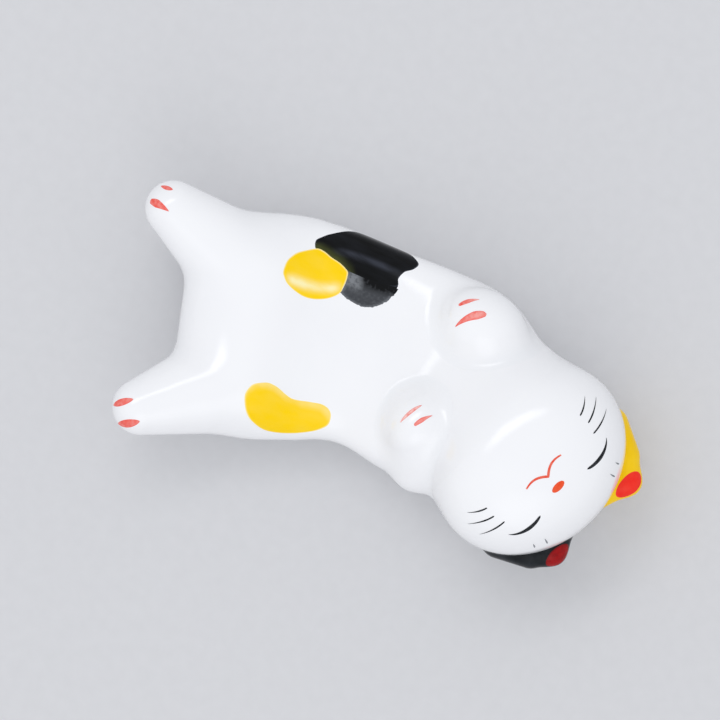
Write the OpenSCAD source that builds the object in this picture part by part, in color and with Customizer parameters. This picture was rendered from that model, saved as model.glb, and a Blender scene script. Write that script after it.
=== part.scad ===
// Chopstick rest: a small glazed porcelain cat that sleeps on its back, feet and paws in the air.
// Lengths are in millimetres. The cat lies along X with its head at +X and its right side at +Y,
// and the flat unglazed base is at Z = 0.
//
// Every form is first described on a straight cat, as [along the back, across, up], and the whole
// is then curled sideways along its back. A form is a function that is negative inside the clay.

/* [Curl of the body] */
// Angle between the line of the hips and the line of the head
curl_angle = 34.6; // [0:0.2:50]
// Length of back over which that angle is spread
curl_length = 24.1; // [18:0.1:34]

/* [Hips] */
// Place of the hips along the back, counted from the middle of the curl
hips_at = -14.6; // [-16:0.1:-13.5]
// Shift of the hips off the midline, towards the outer side of the curl
hips_shift = 0.25; // [0:0.05:0.5]
// Height of the middle of the hips above the table
hips_level = 5; // [4.4:0.1:5.6]
// Length of the hips
hips_length = 25.2; // [22:0.1:28]
// Width of the hips
hips_width = 26; // [22:0.1:29]
// Height of the hips, with the part that the flat base cuts off
hips_height = 13.2; // [12.6:0.1:14.4]

/* [Chest] */
// Place of the chest along the back
chest_at = 2.6; // [1.5:0.1:4]
// Height of the middle of the chest above the table
chest_level = 5.2; // [4.6:0.1:5.8]
// Length of the chest
chest_length = 23; // [20:0.1:26]
// Width of the chest
chest_width = 24.3; // [21:0.1:27]
// Height of the chest, with the part that the flat base cuts off
chest_height = 14.6; // [13.6:0.1:16]
// Reach of the soft waist between the chest and the hips
waist_blend = 8.7; // [4:0.1:10]

/* [Trough for the chopsticks] */
// Place of the trough along the back
trough_at = -6.5; // [-8:0.1:-5]
// Height of the bottom of the trough above the table
trough_level = 9.6; // [8.5:0.1:11]
// Radius of the trough, seen from the side
trough_radius = 22; // [14:0.5:40]
// Softness of the edges of the trough
trough_blend = 3; // [1:0.1:5]

/* [Head] */
// Place of the middle of the head along the back
head_at = 17.4; // [16.5:0.1:18.5]
// Height of the middle of the head above the table
head_level = 9.4; // [8.6:0.1:9.5]
// Length of the head, chin to crown
head_length = 20.4; // [18.5:0.1:22]
// Width of the head over the cheeks
head_width = 24.1; // [21:0.1:26]
// Height of the head, face to back
head_height = 19.2; // [19:0.1:21]
// Softness of the join of head and chest
neck_blend = 6.3; // [3:0.1:8]

/* [Hind legs] */
// Place of the thighs along the back
thigh_at = -20; // [-20.5:0.1:-19]
// Half the distance between the thighs
thigh_side = 6.2; // [5.5:0.1:7]
// Shift of both thighs off the midline, towards the inner side of the curl
thigh_shift = 0.55; // [0:0.05:0.8]
// Height of the middle of each thigh
thigh_level = 6.2; // [5.8:0.1:6.8]
// Radius of each thigh
thigh_radius = 6.2; // [5.4:0.1:6.8]
// Place of the feet along the back
foot_at = -30.2; // [-32:0.1:-29]
// Distance of each foot from the midline
foot_side = 11.6; // [10.5:0.1:13]
// Height of the middle of each foot, well clear of the table
foot_level = 10.4; // [8:0.1:12]
// Radius of each foot
foot_radius = 3.25; // [2.8:0.05:3.8]
// Softness of the web between the hind legs
crotch_blend = 7.4; // [4:0.1:10]
// Softness of the join of the thighs and the hips
hip_blend = 3.4; // [2:0.1:7]

/* [Forelegs] */
// Place of the right shoulder along the back
right_shoulder_at = 4.6; // [4:0.1:6.5]
// Distance of the right shoulder from the midline
right_shoulder_side = 7.1; // [6.5:0.1:8]
// Place of the left shoulder along the back
left_shoulder_at = 7.8; // [6.5:0.1:9]
// Distance of the left shoulder from the midline
left_shoulder_side = 7.6; // [6.5:0.1:8]
// Height of the middle of the shoulders
shoulder_level = 6.4; // [5.5:0.1:7]
// Radius of the shoulders
shoulder_radius = 4.9; // [4.3:0.1:5.3]
// Place of the right paw along the back
right_paw_at = 4.6; // [3.5:0.1:5.5]
// Distance of the right paw from the midline
right_paw_side = 8; // [7:0.1:8.6]
// Place of the left paw along the back
left_paw_at = 4.4; // [3.5:0.1:5.5]
// Distance of the left paw from the midline
left_paw_side = 5.5; // [5:0.1:7]
// Height of the middle of the paws
paw_level = 10.2; // [9.6:0.1:11]
// Radius of the paws
paw_radius = 4.3; // [3.9:0.1:4.7]
// Softness of the crease around the forelegs
paw_blend = 1.8; // [0.6:0.1:2.5]

/* [Ears] */
// How far the middle of the tip of the right ear stands out past the outline of the head
right_ear_out = 1.1; // [0.7:0.05:1.5]
// How far the middle of the tip of the left ear stands out past the outline of the head
left_ear_out = 0.45; // [0.2:0.05:1]
// Distance of each ear tip from the midline
ear_tip_side = 5.9; // [5.4:0.1:6.4]
// Height of the middle of the ears
ear_level = 7.4; // [6.4:0.1:8]
// Radius of the tip of each ear
ear_tip_radius = 1.45; // [1.2:0.05:1.8]
// Depth of the outer root of each ear inside the outline of the head
ear_outer_depth = 2.65; // [2.2:0.05:3]
// Distance of the outer root of each ear from the midline
ear_outer_side = 9.1; // [8.6:0.1:9.4]
// Radius of the outer root of each ear
ear_outer_radius = 2.3; // [2:0.05:2.6]
// Depth of the rounded outer edge of each ear inside the outline of the head
ear_edge_depth = 0.3; // [0:0.05:0.6]
// Distance of the rounded outer edge of each ear from the midline
ear_edge_side = 7.6; // [7.2:0.1:8]
// Radius of the rounded outer edge of each ear
ear_edge_radius = 2.05; // [1.8:0.05:2.3]
// Depth of the inner root of each ear inside the outline of the head
ear_inner_depth = 1.55; // [1.2:0.05:1.9]
// Distance of the inner root of the right ear from the midline
right_ear_inner_side = 2.7; // [2.3:0.1:3.2]
// Distance of the inner root of the left ear from the midline
left_ear_inner_side = 3.8; // [3.3:0.1:4.2]
// Radius of the inner root of each ear
ear_inner_radius = 2; // [1.7:0.05:2.3]

/* [Painted coat] */
// Thickness of the painted enamel
enamel = 0.12; // [0.06:0.01:0.2]
// Place of the yellow belly spot along the back
spot_at = -13; // [-14:0.1:-12]
// Length of the yellow belly spot
spot_length = 6.9; // [4:0.1:8]
// Angle of the yellow belly spot round the body, from straight up
spot_turn = 49; // [45:1:52]
// Part of the way round the body that the yellow belly spot covers
spot_span = 32; // [20:1:34]
// Place of the yellow flank patch along the back
patch_at = -12.8; // [-14:0.1:-11]
// Length of the yellow flank patch
patch_length = 11.2; // [7:0.1:12.5]
// Angle of the yellow flank patch round the body
patch_turn = 59; // [50:1:66]
// Part of the way round the body that the yellow flank patch covers
patch_span = 36; // [20:1:40]
// Place of the edge that the black patch and the grey wash share, along the back
black_at = -8.4; // [-9:0.1:-8]
// Length of the black flank patch
black_length = 10; // [8:0.1:10.5]
// Angle of the edge that the black patch and the grey wash share
black_turn = 61; // [58:1:64]
// Part of the way round the body that the black patch covers
black_span = 36; // [24:1:40]
// Part of the way round the body that the grey wash covers
grey_span = 18; // [10:1:20]
// Gap between two neighbouring paints
paint_gap = 0.1; // [0.05:0.01:0.3]

/* [Painted face and toes] */
// Width of the strokes of the closed eyes
eye_width = 0.45; // [0.3:0.05:0.8]
// Width of the whiskers and the brow strokes
whisker_width = 0.19; // [0.15:0.01:0.35]
// Width of the stroke of the mouth
mouth_width = 0.34; // [0.2:0.02:0.5]
// Length of the nose, across the face
nose_length = 1.8; // [1:0.1:2.4]
// Width of the nose, along the face
nose_width = 0.85; // [0.5:0.05:1.2]
// Width of the widest toe strokes
toe_width = 0.95; // [0.4:0.05:1.2]
// Length of the red mark inside each ear
inner_ear_length = 3.1; // [1.5:0.1:3.3]
// Width of the red mark inside each ear
inner_ear_width = 1.9; // [1:0.1:2.1]

/* [Hidden] */

// Fullness of the rounded forms: 2 is an ellipsoid, more is squarer
fullness_share = 2.4;
tiny_share = 0.0001;
// How much of the clay a form takes in, and on which side: a limb alone leaves the bare clay out
BARE = [0, 0];
function with_foreleg(side) = [1, side];
function foreleg_alone(side) = [2, side];
function ear_alone(side) = [3, side];
function ear_skin(side) = [4, side];
search_steps = 10;

// Where the clay pieces are luted together, along the back
hip_joint_share = 0.17;
neck_joint_share = 0.38;
hip_joint_at = thigh_at - thigh_radius * hip_joint_share;
neck_joint_at = head_at - head_length * neck_joint_share;
cut_overrun = hips_height;
// How thin a lump of clay is where it stops, and how far enamel stands off the clay under it
feather_share = 0.5;
lift_share = 0.08;
feather = enamel * feather_share;
lift = enamel * lift_share;
ear_crease_share = 0.18;
ear_crease = ear_tip_radius * ear_crease_share;
search_step_share = 0.04;
search_reach = max(head_width, hips_width);
search_step = search_reach * search_step_share;

hips = [hips_at, hips_shift, hips_level];
chest = [chest_at, 0, chest_level];
head_middle = [head_at, 0, head_level];
function thigh(side) = [thigh_at, side * thigh_side - thigh_shift, thigh_level];
function foot(side) = [foot_at, side * foot_side, foot_level];
function shoulder(side) = side > 0
  ? [right_shoulder_at, right_shoulder_side, shoulder_level]
  : [left_shoulder_at, -left_shoulder_side, shoulder_level];
function paw(side) = side > 0
  ? [right_paw_at, right_paw_side, paw_level]
  : [left_paw_at, -left_paw_side, paw_level];
// Where the outline of the head lies along the back, at a distance from the midline
function crown_at(side_way) = head_at + head_length / 2 * sqrt(1 - pow(side_way / head_width * 2, 2));
function by_crown(side, side_way, depth) = [crown_at(side_way) - depth, side * side_way, ear_level];
function ear_tip(side) = by_crown(side, ear_tip_side, side > 0 ? -right_ear_out : -left_ear_out);
function ear_outer(side) = by_crown(side, ear_outer_side, ear_outer_depth);
function ear_edge(side) = by_crown(side, ear_edge_side, ear_edge_depth);
function ear_inner(side) = by_crown(side, side > 0 ? right_ear_inner_side : left_ear_inner_side, ear_inner_depth);

// The lesser of two forms, with a soft fillet of the given reach where they meet
function join(a, b, reach) = let(h = max(reach - abs(a - b), 0) / reach) min(a, b) - h * h * reach / 4;
// The first form with the second cut away, with a soft edge
function carve(a, b, reach) = -join(-a, b, reach);

// A full rounded form of a given size about a middle
function blob(p, middle, size) = let(
    q = p - middle,
    plan = norm([q.x / size.x, q.y / size.y]) * 2,
    g = pow(pow(plan, fullness_share) + pow(abs(q.z) / size.z * 2, fullness_share), 1 / fullness_share)
  ) max(norm(q), tiny_share * size.z) * (g - 1) / max(g, tiny_share);

// A limb that tapers from a ball at a to a ball at b
function limb(p, a, b, a_radius, b_radius) = let(
    reach = norm(b - a),
    u = (b - a) / reach,
    along = (p - a) * u,
    off = norm(p - a - along * u),
    slope = (a_radius - b_radius) / reach,
    h = min(max((along - off * slope / sqrt(1 - slope * slope)) / reach, 0), 1)
  ) norm(p - a - h * reach * u) - a_radius - h * (b_radius - a_radius);

function body_form(p) = join(
  blob(p, hips, [hips_length, hips_width, hips_height]),
  blob(p, chest, [chest_length, chest_width, chest_height]), waist_blend);
function trough_form(p) = norm([p.x - trough_at, p.z - trough_level - trough_radius]) - trough_radius;
function hind_leg_form(p, side) = limb(p, thigh(side), foot(side), thigh_radius, foot_radius);
function hind_legs_form(p) = join(hind_leg_form(p, 1), hind_leg_form(p, -1), crotch_blend);
function head_form(p) = blob(p, head_middle, [head_length, head_width, head_height]);
function foreleg_form(p, side) = limb(p, shoulder(side), paw(side), shoulder_radius, paw_radius);
function ear_form(p, side) = join(
  min(limb(p, ear_outer(side), ear_edge(side), ear_outer_radius, ear_edge_radius),
    limb(p, ear_edge(side), ear_tip(side), ear_edge_radius, ear_tip_radius)),
  limb(p, ear_inner(side), ear_tip(side), ear_inner_radius, ear_tip_radius), ear_tip_radius);

function bare_clay(p) = join(
  join(carve(body_form(p), trough_form(p), trough_blend), hind_legs_form(p), hip_blend),
  head_form(p), neck_blend);
function clay(p, extent) = let(bare = bare_clay(p), kind = extent.x, side = extent.y)
  kind == with_foreleg(side).x ? join(bare, foreleg_form(p, side), paw_blend)
  : kind == foreleg_alone(side).x ? max(join(bare, foreleg_form(p, side), paw_blend), lift - bare)
  : kind == ear_alone(side).x ? max(join(bare, ear_form(p, side), ear_crease), lift - bare)
  : kind == ear_skin(side).x ? ear_form(p, side)
  : bare;

// Curls a point of the straight cat sideways along its back
curl_radius = curl_length / max(curl_angle * PI / 180, tiny_share);
function heading(s) = -curl_angle * min(max(s / curl_length, -0.5), 0.5);
function spine(s) = let(
    turn = heading(s),
    bent = min(max(s, -curl_length / 2), curl_length / 2)
  ) [-curl_radius * sin(turn), -curl_radius * (1 - cos(turn)), 0]
    + (s - bent) * [cos(turn), sin(turn), 0];
function curled(p) = spine(p.x) + p.y * [-sin(heading(p.x)), cos(heading(p.x)), 0] + [0, 0, p.z];

// The middle of the cat's outline, which the origin lies under
function reach_of(ball, radius, way) = curled(ball) * way + radius;
outline_left = -reach_of(foot(1), foot_radius, [-1, 0, 0]);
outline_right = reach_of(ear_tip(1), ear_tip_radius, [1, 0, 0]);
outline_low = -reach_of(foot(-1), foot_radius, [0, -1, 0]);
outline_high = reach_of([chest_at, chest_width / 2, 0], 0, [0, 1, 0]);
origin = [(outline_left + outline_right) / 2, (outline_low + outline_high) / 2, 0];
function placed(p) = curled(p) - origin;

// How far a ray goes from inside the clay before it first leaves the form at a level
function first_out(ray, level, extent, at = 0) =
  at > search_reach || clay(ray[0] + at * ray[1], extent) >= level ? at
  : first_out(ray, level, extent, at + search_step);
function narrowed(ray, level, extent, near, far, steps) =
  steps == 0 ? (near + far) / 2
  : let(half = (near + far) / 2)
    clay(ray[0] + half * ray[1], extent) < level
      ? narrowed(ray, level, extent, half, far, steps - 1)
      : narrowed(ray, level, extent, near, half, steps - 1);
function ray_reach(ray, level, extent, from = 0) =
  let(out = first_out(ray, level, extent, from))
  out == from ? from : narrowed(ray, level, extent, out - search_step, out, search_steps);
function on_ray(ray, level, extent) = ray[0] + ray_reach(ray, level, extent) * ray[1];

// Faces between rows of points, which wrap round where loop is true
function strips(rows, cols, first, loop, flip) = [
  for (i = [0 : rows - 2]) for (k = [0 : cols - (loop ? 1 : 2)])
    let(a = first + i * cols + k, b = first + i * cols + (k + 1) % cols, c = a + cols, d = b + cols)
    each flip ? [[a, b, c], [b, d, c]] : [[a, c, b], [b, c, d]]];
function fan(tip, first, cols, flip) = [
  for (k = [0 : cols - 1])
    let(a = first + k, b = first + (k + 1) % cols) flip ? [tip, b, a] : [tip, a, b]];

// A solid through rings of points, flat at the first ring and closed at a tip or flat at the last
module loft(rings, tip = undef) {
  cols = len(rings[0]);
  rows = len(rings);
  last = (rows - 1) * cols;
  points = [for (ring = rings) each [for (p = ring) placed(p)]];
  end = is_undef(tip) ? [[for (k = [cols - 1 : -1 : 0]) last + k]] : fan(rows * cols, last, cols, true);
  polyhedron(
    points = is_undef(tip) ? points : concat(points, [placed(tip)]),
    faces = concat([[for (k = [0 : cols - 1]) k]], strips(rows, cols, 0, true, false), end));
}

// A thin solid between a low and a high sheet of points, each a middle followed by rings
module disc_between(low, high, cols) {
  count = len(low);
  rows = (count - 1) / cols;
  polyhedron(
    points = [for (p = concat(high, low)) placed(p)],
    faces = concat(
      fan(0, 1, cols, true), strips(rows, cols, 1, true, true),
      fan(count, count + 1, cols, false), strips(rows, cols, count + 1, true, false),
      [for (k = [0 : cols - 1])
        let(a = count - cols + k, b = count - cols + (k + 1) % cols)
        each [[a, b, a + count], [b, b + count, a + count]]]));
}
// A patch of enamel where a middle ray and rings of rays leave the clay
module enamel_disc(middle, rings, extent) {
  rays = concat([middle], [for (ring = rings) each ring]);
  disc_between(
    [for (ray = rays) on_ray(ray, lift, extent)],
    [for (ray = rays) on_ray(ray, enamel, extent)], len(rings[0]));
}

// A thin painted stroke through rows of three rays
module stroke(rows_of_rays, extent) {
  rows = len(rows_of_rays);
  cols = 3;
  count = rows * cols;
  rays = [for (row = rows_of_rays) each row];
  edge = concat([for (i = [0 : rows - 1]) i * cols], [count - 2],
    [for (i = [rows - 1 : -1 : 0]) i * cols + 2], [1]);
  polyhedron(
    points = concat(
      [for (ray = rays) placed(on_ray(ray, enamel, extent))],
      [for (ray = rays) placed(on_ray(ray, lift, extent))]),
    faces = concat(
      strips(rows, cols, 0, false, true), strips(rows, cols, count, false, false),
      [for (k = [0 : len(edge) - 1])
        let(a = edge[k], b = edge[(k + 1) % len(edge)])
        each [[a, b, a + count], [b, b + count, a + count]]]));
}

// Space under the table, which cuts the flat base
module under_table() {
  wide = search_reach * 4;
  translate([-wide / 2, -wide / 2, -cut_overrun]) cube([wide, wide, cut_overrun]);
}

// Heights of the core of the body, from which the rings of the skin are cast
function core(s) = [s, 0, lookup(s, [[hips_at, hips_level], [chest_at, chest_level], [head_at, head_level]])];
ring_count = 48;
function round_ray(middle, turn, lean = 0) =
  [middle, [sin(lean), cos(lean) * sin(turn), cos(lean) * cos(turn)]];
function body_ring(middle, lean = 0) = [
  for (k = [0 : ring_count - 1]) on_ray(round_ray(middle, -360 * k / ring_count, lean), 0, BARE)];
torso_rings = 30;
head_rings = 8;
crown_rings = 9;

module torso() {
  color("white") difference() {
    loft([for (i = [0 : torso_rings])
      body_ring(core(hip_joint_at + (neck_joint_at - hip_joint_at) * i / torso_rings))]);
    under_table();
  }
}

module head() {
  color("white") difference() {
    loft(
      concat(
        [for (i = [0 : head_rings - 1]) body_ring(core(neck_joint_at + (head_at - neck_joint_at) * i / head_rings))],
        [for (i = [0 : crown_rings - 1]) body_ring(core(head_at), 90 * i / crown_rings)]),
      tip = on_ray([core(head_at), [1, 0, 0]], 0, BARE));
    under_table();
  }
}

// A hind leg, from the flat joint at the hips to the round foot, and cut along the midline
leg_ring_count = 32;
leg_rings = 9;
foot_rings = 5;
function unit(v) = v / norm(v);
function leg_ray(middle, ahead, turn, lean) = let(
    across = unit(cross(ahead, [0, 0, 1])),
    up = cross(across, ahead)
  ) [middle, cos(lean) * (sin(turn) * across + cos(turn) * up) + sin(lean) * ahead];
function leg_point(ray) = on_ray(ray, 0, BARE);
// How far each way from straight inward the skin of a leg comes back over the midline
leg_gap = 180 / leg_ring_count;
function past_midline(middle, way, turn, side) = side * leg_point(leg_ray(middle, way, turn, 0)).y < 0;
function midline_turn(middle, way, side, sense, near = leg_gap, far = 90, steps = search_steps) =
  let(inward = -90 * side)
  steps == 0 || !past_midline(middle, way, inward + sense * leg_gap, side) ? near
  : let(half = (near + far) / 2)
    past_midline(middle, way, inward + sense * half, side)
      ? midline_turn(middle, way, side, sense, half, far, steps - 1)
      : midline_turn(middle, way, side, sense, near, half, steps - 1);
function on_midline(ray) = ray[0] - ray[0].y / ray[1].y * ray[1];
function leg_ring(middle, way, side, lean = 0) = let(
    inward = -90 * side,
    first = lean > 0 ? leg_gap : midline_turn(middle, way, side, 1),
    last = lean > 0 ? leg_gap : midline_turn(middle, way, side, -1),
    rays = [for (k = [0 : leg_ring_count - 1])
      leg_ray(middle, way, inward + first + (360 - first - last) * k / (leg_ring_count - 1), lean)]
  ) [for (k = [0 : leg_ring_count - 1])
    k == 0 && first > leg_gap || k == leg_ring_count - 1 && last > leg_gap
      ? on_midline(rays[k]) : leg_point(rays[k])];
module hind_leg(side) {
  root_share = (hip_joint_at - thigh_at) / (foot_at - thigh_at);
  root = thigh(side) + root_share * (foot(side) - thigh(side));
  ahead = unit(foot(side) - thigh(side));
  rings = concat(
    [for (i = [0 : leg_rings - 1])
      let(share = i / leg_rings)
      leg_ring(root + share * (foot(side) - root), unit((1 - share) * [-1, 0, 0] + share * ahead), side)],
    [for (i = [0 : foot_rings - 1]) leg_ring(foot(side), ahead, side, tiny_share + 90 * i / foot_rings)]);
  color("white") difference() {
    loft(rings, tip = on_ray([foot(side), ahead], 0, BARE));
    under_table();
  }
}
module right_hind_leg() { hind_leg(1); }
module left_hind_leg() { hind_leg(-1); }

// A lump of clay on the skin: rays fan out from inside it as far as the rim where it fades out
lump_count = 44;
lump_rings = 9;
function lump_ray(middle, ahead, turn, lean) = let(
    across = unit(cross(ahead, [1, 0, tiny_share])),
    up = cross(across, ahead)
  ) [middle, sin(lean) * (sin(turn) * across + cos(turn) * up) + cos(lean) * ahead];
function lump_floor(ray) = ray_reach(ray, lift, BARE);
function lump_top(ray, alone) = let(low = lump_floor(ray)) ray_reach(ray, 0, alone, low + lift);
widest_lean = 120;
function rim_lean(middle, ahead, turn, alone, near = 0, far = widest_lean, steps = 9) =
  steps == 0 ? near
  : let(half = (near + far) / 2, ray = lump_ray(middle, ahead, turn, half))
    lump_top(ray, alone) - lump_floor(ray) > feather
      ? rim_lean(middle, ahead, turn, alone, half, far, steps - 1)
      : rim_lean(middle, ahead, turn, alone, near, half, steps - 1);
module lump(middle, ahead, alone) {
  rims = [for (k = [0 : lump_count - 1]) rim_lean(middle, ahead, 360 * k / lump_count, alone)];
  rays = concat([[middle, ahead]],
    [for (i = [1 : lump_rings]) for (k = [0 : lump_count - 1])
      lump_ray(middle, ahead, 360 * k / lump_count, rims[k] * i / lump_rings)]);
  disc_between(
    [for (ray = rays) ray[0] + lump_floor(ray) * ray[1]],
    [for (ray = rays) ray[0] + lump_top(ray, alone) * ray[1]], lump_count);
}

lump_depth_share = 0.6;
module foreleg(side) {
  ahead = unit([0, side, 1]);
  middle = (shoulder(side) + paw(side)) / 2 - shoulder_radius * lump_depth_share * ahead;
  color("white") lump(middle, ahead, foreleg_alone(side));
}
module right_foreleg() { foreleg(1); }
module left_foreleg() { foreleg(-1); }

ear_lean_share = 0.6;
module ear(side) {
  middle = (ear_outer(side) + ear_inner(side)) / 2;
  lump(middle, unit([1, side * ear_lean_share, 0]), ear_alone(side));
}
module right_ear() { color("gold") ear(1); }
module left_ear() { color("darkslategray") ear(-1); }

// Painted marks

// A point on a curve that leaves the first point and ends at the last, pulled by those between
function bezier(points, u) = len(points) == 1 ? points[0]
  : bezier([for (i = [0 : len(points) - 2]) (1 - u) * points[i] + u * points[i + 1]], u);
// A round closed curve through corner points, at a share of its whole way
function rounded(corners, u) = let(
    n = len(corners), i = floor(u * n), v = u * n - i,
    a = corners[(i + n - 1) % n], b = corners[i % n], c = corners[(i + 1) % n], d = corners[(i + 2) % n]
  ) (2 * b + (c - a) * v + (2 * a - 5 * b + 4 * c - d) * v * v + (3 * b - a - 3 * c + d) * v * v * v) / 2;

// A painted patch on the body: an outline of [along, round] shares about its own middle
patch_count = 40;
patch_rings = 5;
function body_ray(at, turn) = round_ray(core(at), turn);
function within_patch(outline, heart, share) = heart + share * (outline - heart);
// Keeps a neighbouring paint off the yellow spot
spot_skew = 5.5;
function spot_middle_turn(at) = spot_turn + spot_skew * (at - spot_at) * 2 / spot_length;
function spot_frame(at, turn) =
  [(at - spot_at) * 2 / spot_length, (turn - spot_middle_turn(at)) * 2 / spot_span];
function off_spot(at_turn) = let(
    q = spot_frame(at_turn.x, at_turn.y),
    push = max(1, (1 + paint_gap * 2 / spot_length) / max(norm(q), tiny_share)),
    at = spot_at + q.x * push * spot_length / 2
  ) [at, spot_middle_turn(at) + q.y * push * spot_span / 2];
module body_patch(outline, heart) {
  rings = [for (i = [1 : patch_rings]) [for (p = outline)
    let(q = within_patch(p, heart, i / patch_rings)) body_ray(q.x, q.y)]];
  enamel_disc(body_ray(heart.x, heart.y), rings, BARE);
}

module yellow_belly_spot() {
  outline = [for (k = [0 : patch_count - 1])
    let(a = 360 * k / patch_count, at = spot_at + cos(a) * spot_length / 2)
    [at, spot_middle_turn(at) + sin(a) * spot_span / 2]];
  color("gold") body_patch(outline, [spot_at, spot_turn]);
}

patch_shares = [[-1, 0.42], [-0.98, 0.76], [-0.84, 1], [-0.58, 0.96], [-0.34, 0.72], [-0.12, 0.38], [0.14, 0.14],
  [0.56, -0.06], [0.86, -0.2], [1, -0.46], [0.92, -0.84], [0.56, -1], [0.06, -0.86], [-0.4, -0.66],
  [-0.76, -0.36], [-0.92, 0]];
patch_heart_shares = [-0.14, -0.2];
function patch_place(shares) =
  [patch_at + shares.x * patch_length / 2, -patch_turn + shares.y * patch_span / 2];
module yellow_flank_patch() {
  outline = [for (k = [patch_count : -1 : 1]) patch_place(rounded(patch_shares, k / patch_count))];
  color("gold") body_patch(outline, patch_place(patch_heart_shares));
}

// The black patch lies outward of the shared edge and the grey wash inward of it
black_shares = [[-0.51, 0.1], [-0.47, 0.2], [-0.28, 0.4], [-0.1, 0.68], [0.06, 0.86], [0.2, 0.88], [0.33, 0.76],
  [0.44, 0.56], [0.495, 0.38], [0.44, 0.24], [0.375, 0.18], [0.36, 0.02], [0.12, 0], [-0.12, 0], [-0.3, 0.06]];
black_heart_shares = [0.04, 0.46];
grey_shares = [[-0.08, 0], [0.12, 0], [0.35, 0], [0.38, -0.2], [0.34, -0.43], [0.28, -0.68], [0.18, -0.9],
  [0.06, -0.95], [-0.06, -0.84], [-0.14, -0.5]];
grey_heart_shares = [0.12, -0.46];
edge_gap_share = 0.04;
function black_place(shares) =
  off_spot([black_at + shares.x * black_length, black_turn + shares.y * black_span]);
function grey_place(shares) =
  off_spot([black_at + shares.x * black_length, black_turn + (shares.y - edge_gap_share) * grey_span]);
module black_flank_patch() {
  outline = [for (k = [patch_count : -1 : 1]) black_place(rounded(black_shares, k / patch_count))];
  color("black") body_patch(outline, black_place(black_heart_shares));
}
module grey_wash_patch() {
  outline = [for (k = [patch_count : -1 : 1]) grey_place(rounded(grey_shares, k / patch_count))];
  color("dimgray") body_patch(outline, grey_place(grey_heart_shares));
}

// A stroke of the brush along a curve, in plain lengths, that swells and tapers along its way
stroke_rows = 9;
swell_floor_share = 0.06;
swell_power = 0.5;
step_share = 0.01;
function swell(u, tail) =
  pow(sin(180 * pow(u, tail)), swell_power) * (1 - swell_floor_share) + swell_floor_share;
function brushed(points, width, tail) = [
  for (i = [0 : stroke_rows])
    let(u = i / stroke_rows, p = bezier(points, u),
      way = unit(bezier(points, min(u + step_share, 1)) - bezier(points, max(u - step_share, 0))),
      off = [-way.y, way.x] * swell(u, tail) * width / 2)
    [p - off, p, p + off]];

// Marks on the face, in shares of half the head's length and width, painted from straight above
function face_point(shares) = [shares.x * head_length / 2, shares.y * head_width / 2];
function face_ray(p) = [head_middle + [p.x, p.y, 0], [0, 0, 1]];
module face_stroke(shares, side, width, tail) {
  rows = brushed([for (s = shares) face_point([s.x, s.y * side])], width, tail);
  stroke([for (row = rows) [for (p = row) face_ray(p)]], BARE);
}

eye_shares = [[0.435, 0.656], [0.52, 0.605], [0.59, 0.458], [0.534, 0.312]];
whisker_shares = [
  [[-0.068, 0.79], [0.025, 0.712], [0.052, 0.622]],
  [[0.03, 0.862], [0.144, 0.75], [0.174, 0.628]],
  [[0.208, 0.852], [0.296, 0.73], [0.3, 0.593]]];
brow_shares = [
  [[0.71, 0.554], [0.734, 0.556], [0.754, 0.567]],
  [[0.759, 0.44], [0.789, 0.443], [0.822, 0.453]]];
eye_tail_share = 2;
plain_tail_share = 1;
module eye(side) { color("black") face_stroke(eye_shares, side, eye_width, eye_tail_share); }
module right_eye() { eye(1); }
module left_eye() { eye(-1); }
module whiskers(side) {
  color("black") for (shares = whisker_shares) face_stroke(shares, side, whisker_width, plain_tail_share);
}
module right_whiskers() { whiskers(1); }
module left_whiskers() { whiskers(-1); }
module brow_strokes(side) {
  color("black") for (shares = brow_shares) face_stroke(shares, side, whisker_width, plain_tail_share);
}
module right_brow_strokes() { brow_strokes(1); }
module left_brow_strokes() { brow_strokes(-1); }

nose_share = 0.444;
nose_count = 20;
nose_rings = 2;
module nose() {
  middle = face_point([nose_share, 0]);
  rings = [for (i = [1 : nose_rings]) [for (k = [0 : nose_count - 1])
    let(a = 360 * k / nose_count)
    face_ray(middle + [cos(a) * nose_width, sin(a) * nose_length] / 2 * i / nose_rings)]];
  color("orangered") enamel_disc(face_ray(middle), rings, BARE);
}

// The mouth is one stroke that dips to a point under the nose
mouth_shares = [[0.211, 0.237], [0.178, 0.16], [0.19, 0.05], [0.297, 0]];
mouth_floor_share = 0.3;
mouth_rows = 8;
module mouth() {
  half = [for (i = [0 : mouth_rows]) let(p = bezier(mouth_shares, i / mouth_rows)) face_point(p)];
  line = concat(half, [for (i = [mouth_rows - 1 : -1 : 0]) [half[i].x, -half[i].y]]);
  last = len(line) - 1;
  rows = [for (i = [0 : last])
    let(way = unit(line[min(i + 1, last)] - line[max(i - 1, 0)]),
      taper = mouth_floor_share + (1 - mouth_floor_share) * sin(180 * i / last),
      off = [-way.y, way.x] * taper * mouth_width / 2)
    [line[i] - off, line[i], line[i] + off]];
  color("orangered") stroke([for (row = rows) [for (p = row) face_ray(p)]], BARE);
}

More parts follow.
